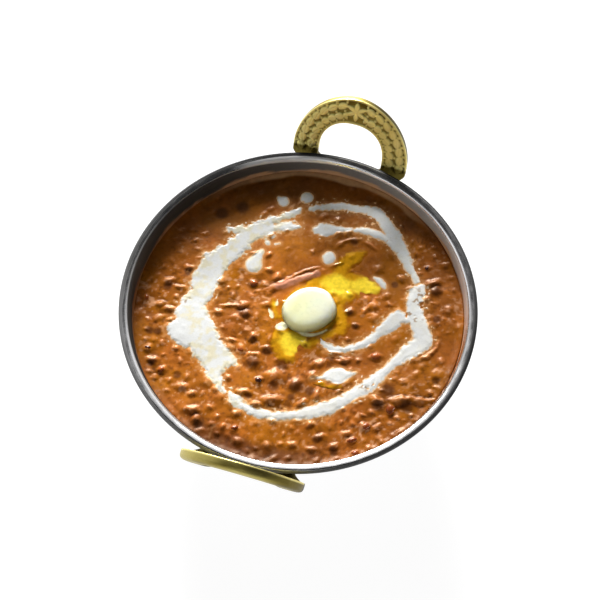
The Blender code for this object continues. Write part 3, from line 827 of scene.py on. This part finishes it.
def looked_up(grid, x, y):
    """Smooth look-up of a field at x and y in mm."""
    u = np.clip((x + FIELD_HALF) / FIELD_STEP, 0, grid.shape[0] - 1.001)
    v = np.clip((y + FIELD_HALF) / FIELD_STEP, 0, grid.shape[1] - 1.001)
    i, j = u.astype(int), v.astype(int)
    return between(grid, i, j, i + 1, j + 1, u - i, v - j)


def gravy_height(x, y):
    """Full surface height, with all lumps, in metres."""
    return gravy_base(x, y) + MM * looked_up(LUMPS, *plan(x / MM, y / MM))


def disc_grid(cells, radius):
    """Points and quads of a square grid pressed into a disc with even cells."""
    side = np.linspace(-1, 1, cells + 1)
    a, b = np.meshgrid(side, side, indexing="ij")
    reach = np.maximum(abs(a), abs(b))
    with np.errstate(divide="ignore", invalid="ignore"):
        turn = np.where(abs(a) > abs(b), (math.pi / 4) * b / a,
                        math.pi / 2 - (math.pi / 4) * a / b)
    turn = np.where(np.where(abs(a) > abs(b), a, b) < 0, turn + math.pi, turn)
    turn = np.where(reach == 0, 0.0, turn)
    x = reach * np.cos(turn) * radius
    y = reach * np.sin(turn) * radius
    index = np.arange((cells + 1) ** 2).reshape(cells + 1, cells + 1)
    quads = np.stack((index[:-1, :-1], index[1:, :-1], index[1:, 1:], index[:-1, 1:]), -1)
    loop = np.concatenate((index[:-1, 0], index[-1, :-1], index[:0:-1, -1], index[0, :0:-1]))
    return x.ravel(), y.ravel(), quads.reshape(-1, 4), loop


def gravy_colours(x, y):
    """Linear colours of the gravy by place, in mm."""
    crowded = crowding(x, y)
    hollow = looked_up(HOLLOWS, x, y)
    speck = cloud_noise(x, y, 1.7, 71, 2)
    patches = smoothstep(0.5 + 0.9 * cloud_noise(x, y, 6.5, 57, 2))
    red = smoothstep(0.2 + 1.2 * cloud_noise(x, y, 4.5, 61, 2)) * 0.3
    dark = linear(84, 40, 4)
    colour = layered(
        linear(180, 107, 15),
        (linear(184, 104, 34), smoothstep(0.5 + 0.8 * cloud_noise(x, y, 13, 51))),
        (linear(132, 72, 10), 0.5 * patches),
        # Painted shade in the hollows between the lumps
        (dark, 0.9 * smoothstep((hollow - 0.01) / 0.32)),
        (linear(146, 72, 30), red * crowded),
        (linear(224, 166, 122), (0.08 + 0.75 * crowded) * smoothstep((speck - 0.3) / 0.25)),
        (dark, (0.25 + 0.4 * crowded) * smoothstep((-speck - 0.3) / 0.3)),
        # Painted light on the crests of the lumps
        (linear(212, 144, 96), 0.35 * smoothstep((-hollow - 0.12) / 0.3)),
    )
    for dark_x, dark_y, reach in DARKS:
        away = np.hypot(x - dark_x, y - dark_y) / reach
        near = np.nonzero(away < 1.3)[0]
        share = 0.75 * (1 - smoothstep((away[near] - 0.45) / 0.7))
        colour[near] = mixed(colour[near], linear(76, 36, 12), share)
    # A fold of skin, painted pale pink along it: partly its own colour, partly a painted sheen
    fold = segment_distance(x, y, (-14, 12.5), (2.5, 24.5))
    fold += 0.8 * cloud_noise(x, y, 2.2, 73, 2)
    milky = smoothstep(1 + cream_depth(x, y) / 1.5)
    colour = layered(
        colour,
        (linear(216, 150, 124), 0.8 * (1 - smoothstep((fold - 0.8) / 1.6))),
        (linear(214, 150, 88), 0.6 * milky),
    )
    # Painted shade: darker to the far side and the upper left, in the rim's shadow, and to the
    # right,
    #     away from the light; also darker left of the middle, lighter in one patch right of the
    #     middle
    slow = 1 - 0.16 * smoothstep((x + 20) / 60) - 0.14 * smoothstep((y - 5) / 40)
    slow -= 0.27 * smoothstep((y - 50) / 14)
    slow -= 0.24 * smoothstep((y - x - 60) / 30)
    slow -= 0.12 * (1 - smoothstep((np.hypot(x + 25, y + 2) - 8) / 12))
    slow -= 0.12 * smoothstep((x - 42) / 20)
    slow += 0.3 * (1 - smoothstep((np.hypot(x - 36, y - 14) - 5) / 16))
    # Painted shade along the near side's edge, under the rim
    edge = smoothstep((np.hypot(x, y) - 70) / 9) * smoothstep((25 - y) / 40)
    return colour * (slow * (1 - 0.35 * edge))[..., None]


def near_wall(places):
    """From 0 to 1 where the gravy under the near side's wall is painted in shade and made matt.
    """
    radius = np.maximum(np.hypot(places[:, 0], places[:, 1]), MM)
    towards = -places[:, 1] / radius
    return smoothstep((radius / MM - 66) / 6) * smoothstep((towards - 0.82) / 0.15)


def far_wall(places):
    """From 0 to 1 where a film has dried on the gravy along the far wall; its pale tan is partly
    painted light.
    """
    x, y = places[:, 0] / MM, places[:, 1] / MM
    radius = np.maximum(np.hypot(x, y), 1)
    inward = 74.9 + 0.02 * np.abs(x) + 0.9 * value_noise(np.arctan2(y, x) * 60, y * 0, 7, 29)
    far = smoothstep((y / radius - 0.55) / 0.4) * smoothstep((62 - x) / 40)
    return smoothstep((radius - inward) / 1.6) * far


def make_gravy(material):
    radius = inner_radius(GRAVY_LEVEL) + 0.1 * MM
    x, y, quads, loop = disc_grid(GRAVY_CELLS, radius)
    rim = np.hypot(x[loop], y[loop])
    sets = [np.column_stack((x, y, gravy_height(x, y)))]
    rings = [loop]
    for k, level in enumerate(GRAVY_RINGS):
        share = inner_radius(level, 0.2 * MM) / rim
        sets.append(np.column_stack((x[loop] * share, y[loop] * share,
                                     np.full(len(loop), level))))
        rings.append(len(x) + k * len(loop) + np.arange(len(loop)))
    faces = [quads]
    for high, low in zip(rings, rings[1:]):
        faces.append(np.column_stack((low, np.roll(low, -1), np.roll(high, -1), high)))
    gravy = make_grid_object("gravy_surface", np.vstack(sets), np.vstack(faces), material)
    close_holes(gravy)
    vertices = points_of(gravy)
    shadow = near_wall(vertices)[:, None]
    tone = gravy_colours(*plan(vertices[:, 0] / MM, vertices[:, 1] / MM))
    # The far wall's dried film, painted pale as if lit in the far shade
    tone = mixed(tone, linear(196, 152, 108), 0.8 * far_wall(vertices))
    paint(gravy, "tone", tone * (1 - shadow * np.array((0.6, 0.66, 0.8))))
    paint(gravy, "matt", shadow)
    return gravy


# ---------------------------------------------------------------- lentils

COVERED_SHARE = 0.93  # of the lentils stay under the surface
LEAST_RISE = 0.6  # mm, of a lentil that lies on top
BEAN_SCALE, THICKEST = 0.86, 1.9


def bean_shape(rings=7, segments=12):
    """Unit bean: vertices and faces, long axis along X, a slight bend."""
    vertices = [(-1, 0, 0)]
    for k in range(1, rings):
        angle = math.pi * k / rings
        for i in range(segments):
            turn = 2 * math.pi * i / segments
            thick = math.sin(angle) ** 0.9
            vertices.append((-math.cos(angle), thick * math.cos(turn), thick * math.sin(turn)))
    vertices.append((1, 0, 0))
    last = len(vertices) - 1
    faces = []
    for i in range(segments):
        j = (i + 1) % segments
        faces.append((0, 1 + j, 1 + i))
        for k in range(rings - 2):
            a = 1 + k * segments
            b = a + segments
            faces.append((a + i, a + j, b + j, b + i))
        faces.append((last, last - segments + i, last - segments + j))
    shape = np.array(vertices, float)
    shape[:, 1] += 0.16 * shape[:, 0] ** 2
    return shape, faces


def make_lentils(material):
    """The lentils and beans that break the surface, each a bean lying in the gravy."""
    rng = np.random.default_rng(23)
    shape, faces = bean_shape()
    tones = (linear(92, 40, 18), linear(128, 62, 26), linear(70, 34, 26), linear(160, 84, 36))
    vertices = []
    all_faces = []
    colours = []
    for x, y, half_length, half_width, heading, rise in LENTILS:
        bare = rng.random()
        tone = tones[rng.integers(len(tones))] * rng.uniform(0.85, 1.15)
        tilt = rng.normal(0, 0.12)
        if bare < COVERED_SHARE or rise < LEAST_RISE or any_cream(x, y):
            continue
        x, y = laid(x, y)
        turn = Matrix.Rotation(math.radians(heading), 3, "Z") @ Matrix.Rotation(tilt, 3, "Y")
        size = BEAN_SCALE * np.array((half_length, half_width, min(half_width, THICKEST)))
        base = gravy_base(x * MM, y * MM) / MM
        middle = np.array((x, y, base + rise + 0.14 - size[2] * 0.98))
        placed = (shape * size) @ np.array(turn.transposed()) + middle
        start = len(vertices) * len(shape)
        vertices.append(placed * MM)
        all_faces += [tuple(start + i for i in face) for face in faces]
        colours.append(np.tile(tone, (len(shape), 1)))
    lentils = make_object("lentils", np.vstack(vertices), all_faces, material)
    paint(lentils, "tone", np.vstack(colours))
    return lentils


# ---------------------------------------------------------------- cream


def slab(name, cells, x, y, top, bottom, material):
    """A closed solid over the grid cells marked in cells; x to bottom are grid arrays."""
    used = np.zeros(x.shape, bool)
    for di in (0, 1):
        for dj in (0, 1):
            used[di:di + cells.shape[0], dj:dj + cells.shape[1]] |= cells
    index = np.full(x.shape, -1)
    index[used] = np.arange(used.sum())
    count = int(used.sum())
    vertices = np.vstack((np.column_stack((x[used], y[used], top[used])),
                          np.column_stack((x[used], y[used], bottom[used]))))
    a, b = index[:-1, :-1][cells], index[1:, :-1][cells]
    c, d = index[1:, 1:][cells], index[:-1, 1:][cells]
    faces = [np.column_stack((a, b, c, d)), np.column_stack((d, c, b, a)) + count]
    padded = np.pad(cells, 1)
    inner = padded[1:-1, 1:-1]
    sides = (
        (inner & ~padded[1:-1, :-2], (0, 0), (1, 0)),
        (inner & ~padded[2:, 1:-1], (1, 0), (1, 1)),
        (inner & ~padded[1:-1, 2:], (1, 1), (0, 1)),
        (inner & ~padded[:-2, 1:-1], (0, 1), (0, 0)),
    )
    for mask, first, second in sides:
        i, j = np.nonzero(mask)
        one = index[i + first[0], j + first[1]]
        two = index[i + second[0], j + second[1]]
        faces.append(np.column_stack((one + count, two + count, two, one)))
    return make_grid_object(name, vertices, np.vstack(faces), material), used


def square_grid(low_x, high_x, low_y, high_y, step):
    sides = np.arange(low_x, high_x, step), np.arange(low_y, high_y, step)
    return np.meshgrid(*sides, indexing="ij")


def make_film(name, x, y, depth, thickness, shoulder, material):
    """A thin piece on the gravy: thickness in mm by depth, sinking under it outside."""
    lift = np.where(depth > 0, thickness * smoothstep(depth / shoulder), FILM_SINK * depth)
    ground = gravy_height(x.ravel() * MM, y.ravel() * MM).reshape(x.shape)
    top = ground + MM * np.maximum(lift, -FILM_DEEPEST)
    corner = np.maximum.reduce([depth[:-1, :-1], depth[1:, :-1], depth[1:, 1:], depth[:-1, 1:]])
    bottom = ground - FILM_FOOT * MM
    return slab(name, corner > -FILM_MARGIN, x * MM, y * MM, top, bottom, material)


def make_cream(material):
    x, y = square_grid(*CREAM_AREA, CREAM_GRID)
    depth = cream_depth(*plan(x.ravel(), y.ravel())).reshape(x.shape)
    cream, used = make_film("cream", x, y, depth, CREAM_THICKNESS, CREAM_SHOULDER, material)
    px, py = plan(x[used], y[used])
    ivory = linear(218, 212, 186)
    ragged = depth[used] + 0.55 * cloud_noise(px, py, 1.5, 103, 2)
    cool = smoothstep((px + 30) / 40)
    mottle = smoothstep(0.4 + 1.3 * cloud_noise(px, py, 2.6, 101)) * (1 - 0.8 * cool)
    mottle *= smoothstep((np.hypot(px + 54, py + 23) - 4) / 5)
    thin = smoothstep((cloud_noise(px, py, 1.8, 97, 2) - 0.32) / 0.2)
    thin *= smoothstep(2 * speckled(px, py))
    colour = layered(
        linear(219, 221, 221),
        (ivory, mottle),
        (ivory, 0.8 * (1 - smoothstep(ragged / 1.4))),
        (linear(218, 166, 108), 1 - smoothstep(ragged - 0.1)),
        (linear(150, 120, 84), 0.85 * thin),
    )
    # Painted shade on the upper left, where the rim's shadow falls
    colour *= (1 - 0.14 * smoothstep((py - px - 45) / 25))[:, None]
    paint(cream, "tone", np.vstack((colour, colour)))
    return cream


# ---------------------------------------------------------------- ghee and butter

BUTTER_PLACE = (4.6, 3.1)
BUTTER_HALF = (12.8, 11.2)
BUTTER_TURN = 38
BUTTER_HEIGHT = 4.0
BUTTER_EXPONENT = 2.3
BUTTER_SEGMENTS = 96
# The pool of ghee: strokes as the cream's
GHEE_THICKNESS = 0.22
GHEE_SHOULDER = 3.0
GHEE_AREA = (-20, 40, -34, 50)
GHEE_GRID = 0.5
MOAT_RADIUS = 12.6  # of the darker ring of ghee round the butter
GHEE_STROKES = (
    ((4, 4, 14.4), (6, 7, 13.6)),
    ((3, 17, 5), (9, 21.5, 5.6), (15, 24, 6.2), (21, 25, 5.6), (27, 25, 4.4), (32, 24, 2.6)),
    ((15, 14, 5), (21, 18, 5)),
    ((17, 9, 4), (20, 4, 4.6), (22, 1, 3.8), (20, -3, 3.8), (15, -7, 3.6)),
    ((13, 27, 5), (14, 33, 5.2), (17, 38, 4.6), (21, 42, 2.6)),
    ((-2, -11, 8), (-2.5, -16, 7.2), (0, -20, 5.6), (3, -22, 4)),
    ((8, -12, 4), (12, -10, 3)),
    ((-10, -3, 3.6), (-12.6, 1, 3), (-13.5, 4.5, 1.8)),
    ((17.5, -31.2, 1.6), (21.5, -31.4, 2.4), (25, -31.4, 2), (30, -29.5, 1.8), (33.5, -25, 1.4)),
    ((28.5, -33.2, 1.6), (30, -32.4, 1.6)),
)
# Pale foam around the butter: points (x, y) and half width in mm
FOAM = (
    ((2, -8, 0.5), (7, -8.4, 1.0), (11.5, -6.8, 0.7), (15, -3.6, 0.4)),
    ((-9, -7.2, 0.6), (-6.4, -7.6, 2.3), (-4, -6.8, 1.2)),
    ((-15, -0.6, 0.7), (-13.4, -2.4, 1.4), (-11.8, -4, 0.9)),
    ((-11.5, 7.5, 0.6), (-11.6, 3, 0.8)),
)
GHEE_SAMPLES = samples_of(GHEE_STROKES, 0.8)
FOAM_SAMPLES = samples_of(FOAM, 0.5)


def make_ghee(material):
    x, y = square_grid(*GHEE_AREA, GHEE_GRID)
    flat = plan(x.ravel(), y.ravel())
    depth = inside_depth(*flat, GHEE_SAMPLES)
    depth += 0.9 * cloud_noise(*flat, 4, 111) + 0.4 * cloud_noise(*flat, 1.5, 115, 2)
    depth = depth.reshape(x.shape)
    ghee, used = make_film("ghee", x, y, depth, GHEE_THICKNESS, GHEE_SHOULDER, material)
    px, py = plan(x[used], y[used])
    deep = depth[used]
    yellow = np.maximum.reduce([
        1.2 - np.hypot((px - 27) / 9, (py - 23.5) / 5),
        1.0 - np.hypot((px - 14) / 10, (py - 21) / 7),
        0.95 - np.hypot((px - 2) / 9.5, (py + 14.5) / 8),
        0.5 - np.hypot((px + 12) / 4, (py - 3) / 5),
    ])
    streaks = cloud_noise(px, py, 2.6, 121, 2)
    oily = smoothstep((deep + 1.6 * streaks + 2.4 * np.clip(yellow, 0, 1)) / 3.2)
    moat = np.hypot(px - BUTTER_PLACE[0], py - BUTTER_PLACE[1]) - MOAT_RADIUS
    foam = inside_depth(px, py, FOAM_SAMPLES) + 0.3 * streaks
    colour = layered(
        linear(134, 88, 10),
        (linear(200, 142, 22), smoothstep((deep + streaks) / 2.4)),
        (linear(252, 220, 60), smoothstep(yellow * 1.9 + 0.4 * streaks)),
        (gravy_colours(px, py), 1 - oily),
        (linear(150, 120, 16), 0.6 * (1 - smoothstep(abs(moat) / 1.6))),
        (linear(238, 236, 196), smoothstep(0.4 + foam / 0.8)),
    )
    paint(ghee, "tone", np.vstack((colour, colour)))
    return ghee


def make_butter(material):
    """An oval pat with soft shoulders, its foot melting into the ghee."""
    shares = np.array((1.0, 0.985, 0.96, 0.93, 0.89, 0.84, 0.78, 0.7, 0.6, 0.48, 0.34, 0.18))
    pillow = BUTTER_HEIGHT * (1 - shares**12) ** 0.5
    levels = ((0.5, -0.4), (1.02, -0.35), (1.03, 0.1)) + tuple(zip(shares[1:], pillow[1:]))
    power = 2 / BUTTER_EXPONENT
    angle = np.linspace(0, 2 * math.pi, BUTTER_SEGMENTS, endpoint=False)
    along = BUTTER_HALF[0] * np.sign(np.cos(angle)) * abs(np.cos(angle)) ** power
    side = BUTTER_HALF[1] * np.sign(np.sin(angle)) * abs(np.sin(angle)) ** power
    dx, dy = turned(along, side, -BUTTER_TURN)
    wobble = 1 + 0.02 * value_noise(np.cos(angle) * 6, np.sin(angle) * 6, 2.5, 131)
    sets = []
    lifts = []
    for share, lift in levels:
        x = BUTTER_PLACE[0] + dx * share * wobble
        y = BUTTER_PLACE[1] + dy * share * wobble
        base = gravy_base(x * MM, y * MM) / MM
        dent = 0.18 * cloud_noise(x, y, 7, 135, 2) * (lift > 2)
        sets.append(np.column_stack((x, y, base + lift + dent)))
        lifts.append(np.full(BUTTER_SEGMENTS, lift))
    quads = tube_quads((len(levels), BUTTER_SEGMENTS))
    butter = make_grid_object("butter", np.vstack(sets) * MM, quads, material)
    close_holes(butter)
    vertices = points_of(butter) / MM
    # Painted light: paler towards the lower left corner
    low_corner = smoothstep(0.5 - ((vertices[:, 0] - 4) + (vertices[:, 1] - 4) * 0.6) / 22)
    paint(butter, "tone", layered(
        linear(240, 226, 140),
        (linear(250, 244, 206), smoothstep((np.concatenate(lifts) - 0.6) / 2)),
        (linear(244, 236, 168), 0.6 * low_corner),
    ))
    return butter


# ---------------------------------------------------------------- handles and rivets


def direction_of(azimuth, elevation=0):
    turn = math.radians(azimuth)
    lift = math.radians(elevation)
    return Vector((math.cos(lift) * math.cos(turn), math.cos(lift) * math.sin(turn),
                   math.sin(lift)))


def handle_frame(end):
    """Matrix from (across, up, towards the bowl) to the world for one handle."""
    azimuth, lean, standoff = HANDLES[end]
    lean = math.radians(lean)
    outwards = direction_of(azimuth)
    up = outwards * math.cos(lean) + Vector((0, 0, math.sin(lean)))
    across = outwards.cross(Vector((0, 0, 1)))
    axes = Matrix((across, up, across.cross(up))).transposed().to_4x4()
    origin = outwards * (RIM_RADIUS + standoff) + Vector((0, 0, RIM_HEIGHT))
    return Matrix.Translation(origin) @ axes


def arch_points(half, rise, exponent, angle):
    power = 2 / exponent
    return np.column_stack((half * abs(np.cos(angle)) ** power,
                            rise * abs(np.sin(angle)) ** power))


def handle_edges(along):
    """Outer and inner edges of one half, in mm; along runs 0 at the apex to 1 at the foot."""
    angle = math.pi / 2 * (1 - np.minimum(along / ARCH_SHARE, 1))
    outer = arch_points(OUTER_HALF, OUTER_RISE, OUTER_EXPONENT, angle)
    inner = arch_points(INNER_HALF, INNER_RISE, INNER_EXPONENT, angle)
    drop = FOOT_DROP * np.maximum(along - ARCH_SHARE, 0) / (1 - ARCH_SHARE)
    bend = smoothstep((drop - BEND_START) / (STEP_END - BEND_START))
    leg_outer = OUTER_HALF + (FOOT_OUTER - OUTER_HALF) * bend
    leg_inner = INNER_HALF + (FOOT_INNER - INNER_HALF) * bend
    past = np.maximum(0, (drop - (FOOT_DROP - FOOT_ROUND)) / (FOOT_ROUND * 1.04))
    half = (leg_outer - leg_inner) / 2 * np.sqrt(1 - past * past)
    middle = (leg_outer + leg_inner) / 2
    leg = (along > ARCH_SHARE)[:, None]
    outer = np.where(leg, np.column_stack((middle + half, -drop)), outer)
    inner = np.where(leg, np.column_stack((middle - half, -drop)), inner)
    return outer, inner, drop


def leaf(along, across, half_length, half_width):
    """Height from 0 to 1 of an almond leaf with a midrib groove."""
    reach = np.clip(1 - (along / half_length) ** 2, 0, 1) ** 0.75
    edge = abs(across) / np.maximum(half_width * reach, 1e-6)
    body = np.where(reach > 0, np.clip(1 - edge**2.6, 0, 1) ** 0.6, 0)
    rib = 0.22 * np.exp(-((across / 0.2) ** 2)) * (reach > 0.3)
    return np.clip(body - rib, 0, 1)


def carving(run, across, width, flat):
    """Height from 0 to 1 of two rows of leaves, with small buds between them, and a
    six-petal flower at the apex. run is the signed distance from the apex along the
    handle and across the distance from its outer edge, both in mm."""
    distance = abs(run)
    height = np.zeros_like(run)
    for share, slant, shift in ((0.30, 18, 0.0), (0.70, -18, 0.5)):
        centre = (np.floor(distance / LEAF_PITCH + shift) + 0.5 - shift) * LEAF_PITCH
        along, side = turned(distance - centre, across - width * share, slant)
        height = np.maximum(height, leaf(along, side, LEAF_LENGTH, LEAF_WIDTH))
    for share, shift in ((0.15, 0.5), (0.85, 0.0), (0.5, 0.25)):
        centre = (np.floor(distance / LEAF_PITCH + shift) + 0.5 - shift) * LEAF_PITCH
        bud = np.hypot(distance - centre, across - width * share) / BUD_RADIUS
        height = np.maximum(height, 0.8 * np.sqrt(np.clip(1 - bud**2, 0, 1)))
    height = height * (distance > FLOWER_ROOM)
    up = flat[..., 1] - (OUTER_RISE + INNER_RISE) / 2
    for k in range(PETALS):
        along, side = turned(flat[..., 0], up, 60 * k + 30)
        petal = leaf(along - PETAL_PLACE, side, PETAL_LENGTH, PETAL_WIDTH)
        height = np.maximum(height, petal)
    middle = np.hypot(flat[..., 0], up) / FLOWER_HEART
    return np.maximum(height, np.sqrt(np.clip(1 - middle**2, 0, 1)))


def handle_path(steps):
    """Outer edge, inner edge, drop below the rim and run, from one foot to the other."""
    outer, inner, drop = handle_edges(np.linspace(1, 0, steps + 1))
    mirror = np.array((-1, 1))
    outer = np.vstack((outer, (outer * mirror)[-2::-1]))
    inner = np.vstack((inner, (inner * mirror)[-2::-1]))
    drop = np.concatenate((drop, drop[-2::-1]))
    middle = (outer + inner) / 2
    run = np.concatenate(((0,), np.cumsum(np.hypot(*np.diff(middle, axis=0).T))))
    return outer, inner, drop, run - run[steps]


def make_handle(end, material):
    """A carved face between raised borders, thin edges and a smooth rounded back."""
    outer, inner, drop, run = (part[:, None] for part in handle_path(HANDLE_STEPS))
    width = np.hypot(*(inner - outer)[:, 0].T)[:, None]
    narrow = np.minimum(1, width / (2 * BORDER + 1.6))
    quarter = np.radians(np.linspace(90, 0, 5))
    lead = CORNER * (1 - np.sin(quarter)) * narrow
    fall = -CORNER * (1 - np.cos(quarter)) * np.ones_like(width)
    share = np.linspace(0, 1, FACE_STEPS)
    face = BORDER * narrow + share * (width - 2 * BORDER * narrow)
    fade = 1 - smoothstep((drop - 1) / 5)
    inside = np.minimum(face, width - face) - BORDER + CORNER
    flat = outer + (inner - outer) * (face / width)[..., None]
    raised = carving(run + 0 * face, face, width, flat) * smoothstep(inside / 0.4)
    cavity = (smoothstep(inside / 0.35) - raised) * fade
    back = np.radians(np.linspace(0, 180, 25))
    power = 2 / BACK_EXPONENT
    swell = HANDLE_EDGE + (HANDLE_THICKNESS - HANDLE_EDGE) * abs(np.sin(back)) ** power
    reach = np.sign(np.cos(back)) * abs(np.cos(back)) ** power
    across = np.hstack((lead, face, (width - lead)[:, ::-1], width / 2 * (1 + reach)))
    depth = np.hstack((fall, -CARVING * cavity, fall[:, ::-1], -swell * np.ones_like(width)))
    depth = depth + FOOT_INSET * smoothstep((drop - STEP_START) / (STEP_END - STEP_START))
    place = outer + (inner - outer) * (across / width)[..., None]
    points = np.concatenate((place, depth[..., None]), -1) * MM
    quads = tube_quads(depth.shape)
    handle = make_grid_object(f"{end}_handle", points.reshape(-1, 3), quads, material)
    close_holes(handle)
    tone = np.ones_like(depth)
    first = len(quarter)
    tone[:, first:first + FACE_STEPS] = 1 - 0.7 * smoothstep(cavity * 1.1)
    tone[:, -len(back):] = BACK_TONE
    outside = (depth < -0.5) & (across < width / 4)
    place = flat[:, :1, 0]
    if end == "back":
        # Painted shade on the outer side wall, darker to the right, away from the light, and a painted         shade and dark reflection at the foot, just above the rim
        tone *= 1 - outside * (0.48 + 0.34 * smoothstep(place / 12))
        tone *= 1 - 0.8 * smoothstep((-0.3 - flat[:, :1, 1]) / 1.6)
    else:
        # Painted shade on the right end's outer side, a painted diagonal band of dark reflection and         shade across it, and painted shade at the foot
        tone *= 1 - outside * 0.65 * smoothstep((-place - 12) / 10)
        tone *= 1 - outside * 0.4 * np.exp(-(((place + 7 * (depth + 2.5)) / 7) ** 2))
        tone *= 1 - 0.8 * smoothstep((1.0 - flat[:, :1, 1]) / 2.0)
    paint(handle, "tone", np.stack((tone, tone**1.08, tone**1.5), -1).reshape(-1, 3))
    seat_feet(handle, handle_frame(end))
    return handle


def seat_feet(handle, frame_matrix):
    """Puts the handle in place, with its feet pressed flat against the bowl's wall."""
    world = np.array([tuple(frame_matrix @ v.co) for v in handle.data.vertices])
    profile = belly_profile()
    radius = np.hypot(world[:, 0], world[:, 1])
    wall = np.interp(world[:, 2], profile[:, 1], profile[:, 0]) + FOOT_GAP
    low = (world[:, 2] < BELLY_TOP) & (radius < wall)
    world[:, :2] *= np.where(low, wall / radius, 1.0)[:, None]
    handle.data.vertices.foreach_set("co", world.astype(np.float32).ravel())
    handle.data.update()


def make_rivet(end, side, material):
    """A domed head inside the wall and another outside the foot, on one shank."""
    azimuth = HANDLES[end][0]
    slope = (inner_radius(RIVET_HEIGHT + MM) - inner_radius(RIVET_HEIGHT - MM)) / (2 * MM)
    outwards = direction_of(azimuth + side * RIVET_SPREAD)
    inwards = (Vector((0, 0, float(slope))) - outwards).normalized()
    sideways = inwards.orthogonal().normalized()
    axes = Matrix((sideways, inwards.cross(sideways), inwards)).transposed().to_4x4()
    radius = float(inner_radius(RIVET_HEIGHT))
    frame_matrix = Matrix.Translation(outwards * radius + Vector((0, 0, RIVET_HEIGHT))) @ axes
    handle = handle_frame(end).inverted()
    start = (handle @ frame_matrix.translation).z
    step = (handle @ (frame_matrix @ Vector((0, 0, 1)))).z - start
    foot = ((FOOT_INSET - HANDLE_THICKNESS) * MM - start) / step
    dome = np.radians(np.linspace(90, 0, 9))
    reach = HEAD_RADIUS * np.cos(dome)
    inner = np.column_stack((reach, HEAD_LIFT + INNER_HEAD * np.sin(dome)))[1:]
    outer = np.column_stack((reach, foot - OUTER_HEAD * np.sin(dome)))[1:]
    shank = np.array(((SHANK_RADIUS, 0.0), (SHANK_RADIUS, foot + SHANK_MARGIN)))
    profile = np.vstack((inner, shank, outer[::-1]))
    word = "left" if side * azimuth > 0 else "right"
    vertices, quads = turned_grid(profile[::-1], RIVET_SEGMENTS)
    rivet = make_grid_object(f"{end}_rivet_{word}", vertices, quads, material)
    close_holes(rivet)
    rivet.matrix_world = frame_matrix
    return rivet, f"rivet_{end}_{word}"


# ---------------------------------------------------------------- scene


def make_camera():
    back = direction_of(CAMERA_AZIMUTH, CAMERA_ELEVATION)
    rim = Vector((0, 0, RIM_HEIGHT))
    place = rim + back * CAMERA_DISTANCE
    right = (-back).cross(Vector((0, 0, 1))).normalized()
    up = right.cross(-back)
    aim = rim + right * AIM_RIGHT + up * AIM_UP
    data = bpy.data.cameras.new("camera")
    data.sensor_width = SENSOR_WIDTH
    data.lens = CAMERA_LENS
    data.clip_start = 0.01
    camera = add_to_scene("camera", data)
    facing = (aim - place).to_track_quat("-Z", "Y").to_matrix().to_4x4()
    camera.matrix_world = Matrix.Translation(place) @ facing
    bpy.context.scene.camera = camera


def make_key_light():
    data = bpy.data.lights.new("key", "AREA")
    data.shape = "SQUARE"
    data.size = KEY_SIZE
    data.energy = KEY_WATTS
    data.color = KEY_COLOUR
    direction = direction_of(KEY_AZIMUTH, KEY_ELEVATION)
    light = add_to_scene("key", data)
    light.location = Vector((0, 0, GRAVY_LEVEL)) + direction * KEY_DISTANCE
    light.rotation_euler = (-direction).to_track_quat("-Z", "Y").to_euler()


def make_floor():
    square = ((-1, -1), (1, -1), (1, 1), (-1, 1))
    corners = [(x * FLOOR_HALF, y * FLOOR_HALF, 0) for x, y in square]
    make_object("floor", corners, [(0, 1, 2, 3)], floor_material())


def make_room():
    """A dim world with soft bright patches for the metal and the gravy to reflect."""
    world = bpy.data.worlds.new("world")
    bpy.context.scene.world = world
    world.use_nodes = True
    nodes = world.node_tree.nodes
    links = world.node_tree.links
    place = nodes.new("ShaderNodeTexCoord")
    total = None
    for azimuth, elevation, reach, softness, brightness in PATCHES:
        towards = nodes.new("ShaderNodeVectorMath")
        towards.operation = "DOT_PRODUCT"
        towards.inputs[1].default_value = direction_of(azimuth, elevation)
        links.new(place.outputs["Generated"], towards.inputs[0])
        patch = nodes.new("ShaderNodeMapRange")
        patch.interpolation_type = "SMOOTHSTEP"
        patch.inputs["From Min"].default_value = math.cos(math.radians(reach + softness))
        patch.inputs["From Max"].default_value = math.cos(math.radians(reach))
        patch.inputs["To Max"].default_value = brightness
        links.new(towards.outputs["Value"], patch.inputs["Value"])
        add = nodes.new("ShaderNodeMath")
        links.new(patch.outputs["Result"], add.inputs[0])
        if total is None:
            add.inputs[1].default_value = ROOM_GLOW
        else:
            links.new(total, add.inputs[1])
        total = add.outputs["Value"]
    links.new(total, nodes["Background"].inputs["Strength"])
    nodes["Background"].inputs["Color"].default_value = (1, 1, 1, 1)
    bpy.context.scene.view_settings.view_transform = "Standard"


def place_piece(piece, slot, *nodes):
    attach(piece, "root")
    if nodes:
        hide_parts(*nodes)


make_camera()
make_floor()
make_key_light()
make_room()
brass = brass_material()
rivet_steel = rivet_material()
place_piece(make_bowl(steel_material()), "steel", "bowl")
for end in HANDLES:
    place_piece(make_handle(end, brass), "brass", f"handle_{end}")
    for side in (-1, 1):
        rivet, node = make_rivet(end, side, rivet_steel)
        place_piece(rivet, "rivet_steel", node)
place_piece(make_gravy(gravy_material()), "gravy", "gravy")
place_piece(make_lentils(lentil_material()), "gravy")
cream_nodes = sorted(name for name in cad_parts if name.startswith("cream_"))
place_piece(make_cream(cream_material()), "cream", *cream_nodes)
place_piece(make_ghee(ghee_material()), "butter")
place_piece(make_butter(butter_material()), "butter", "butter_pat")
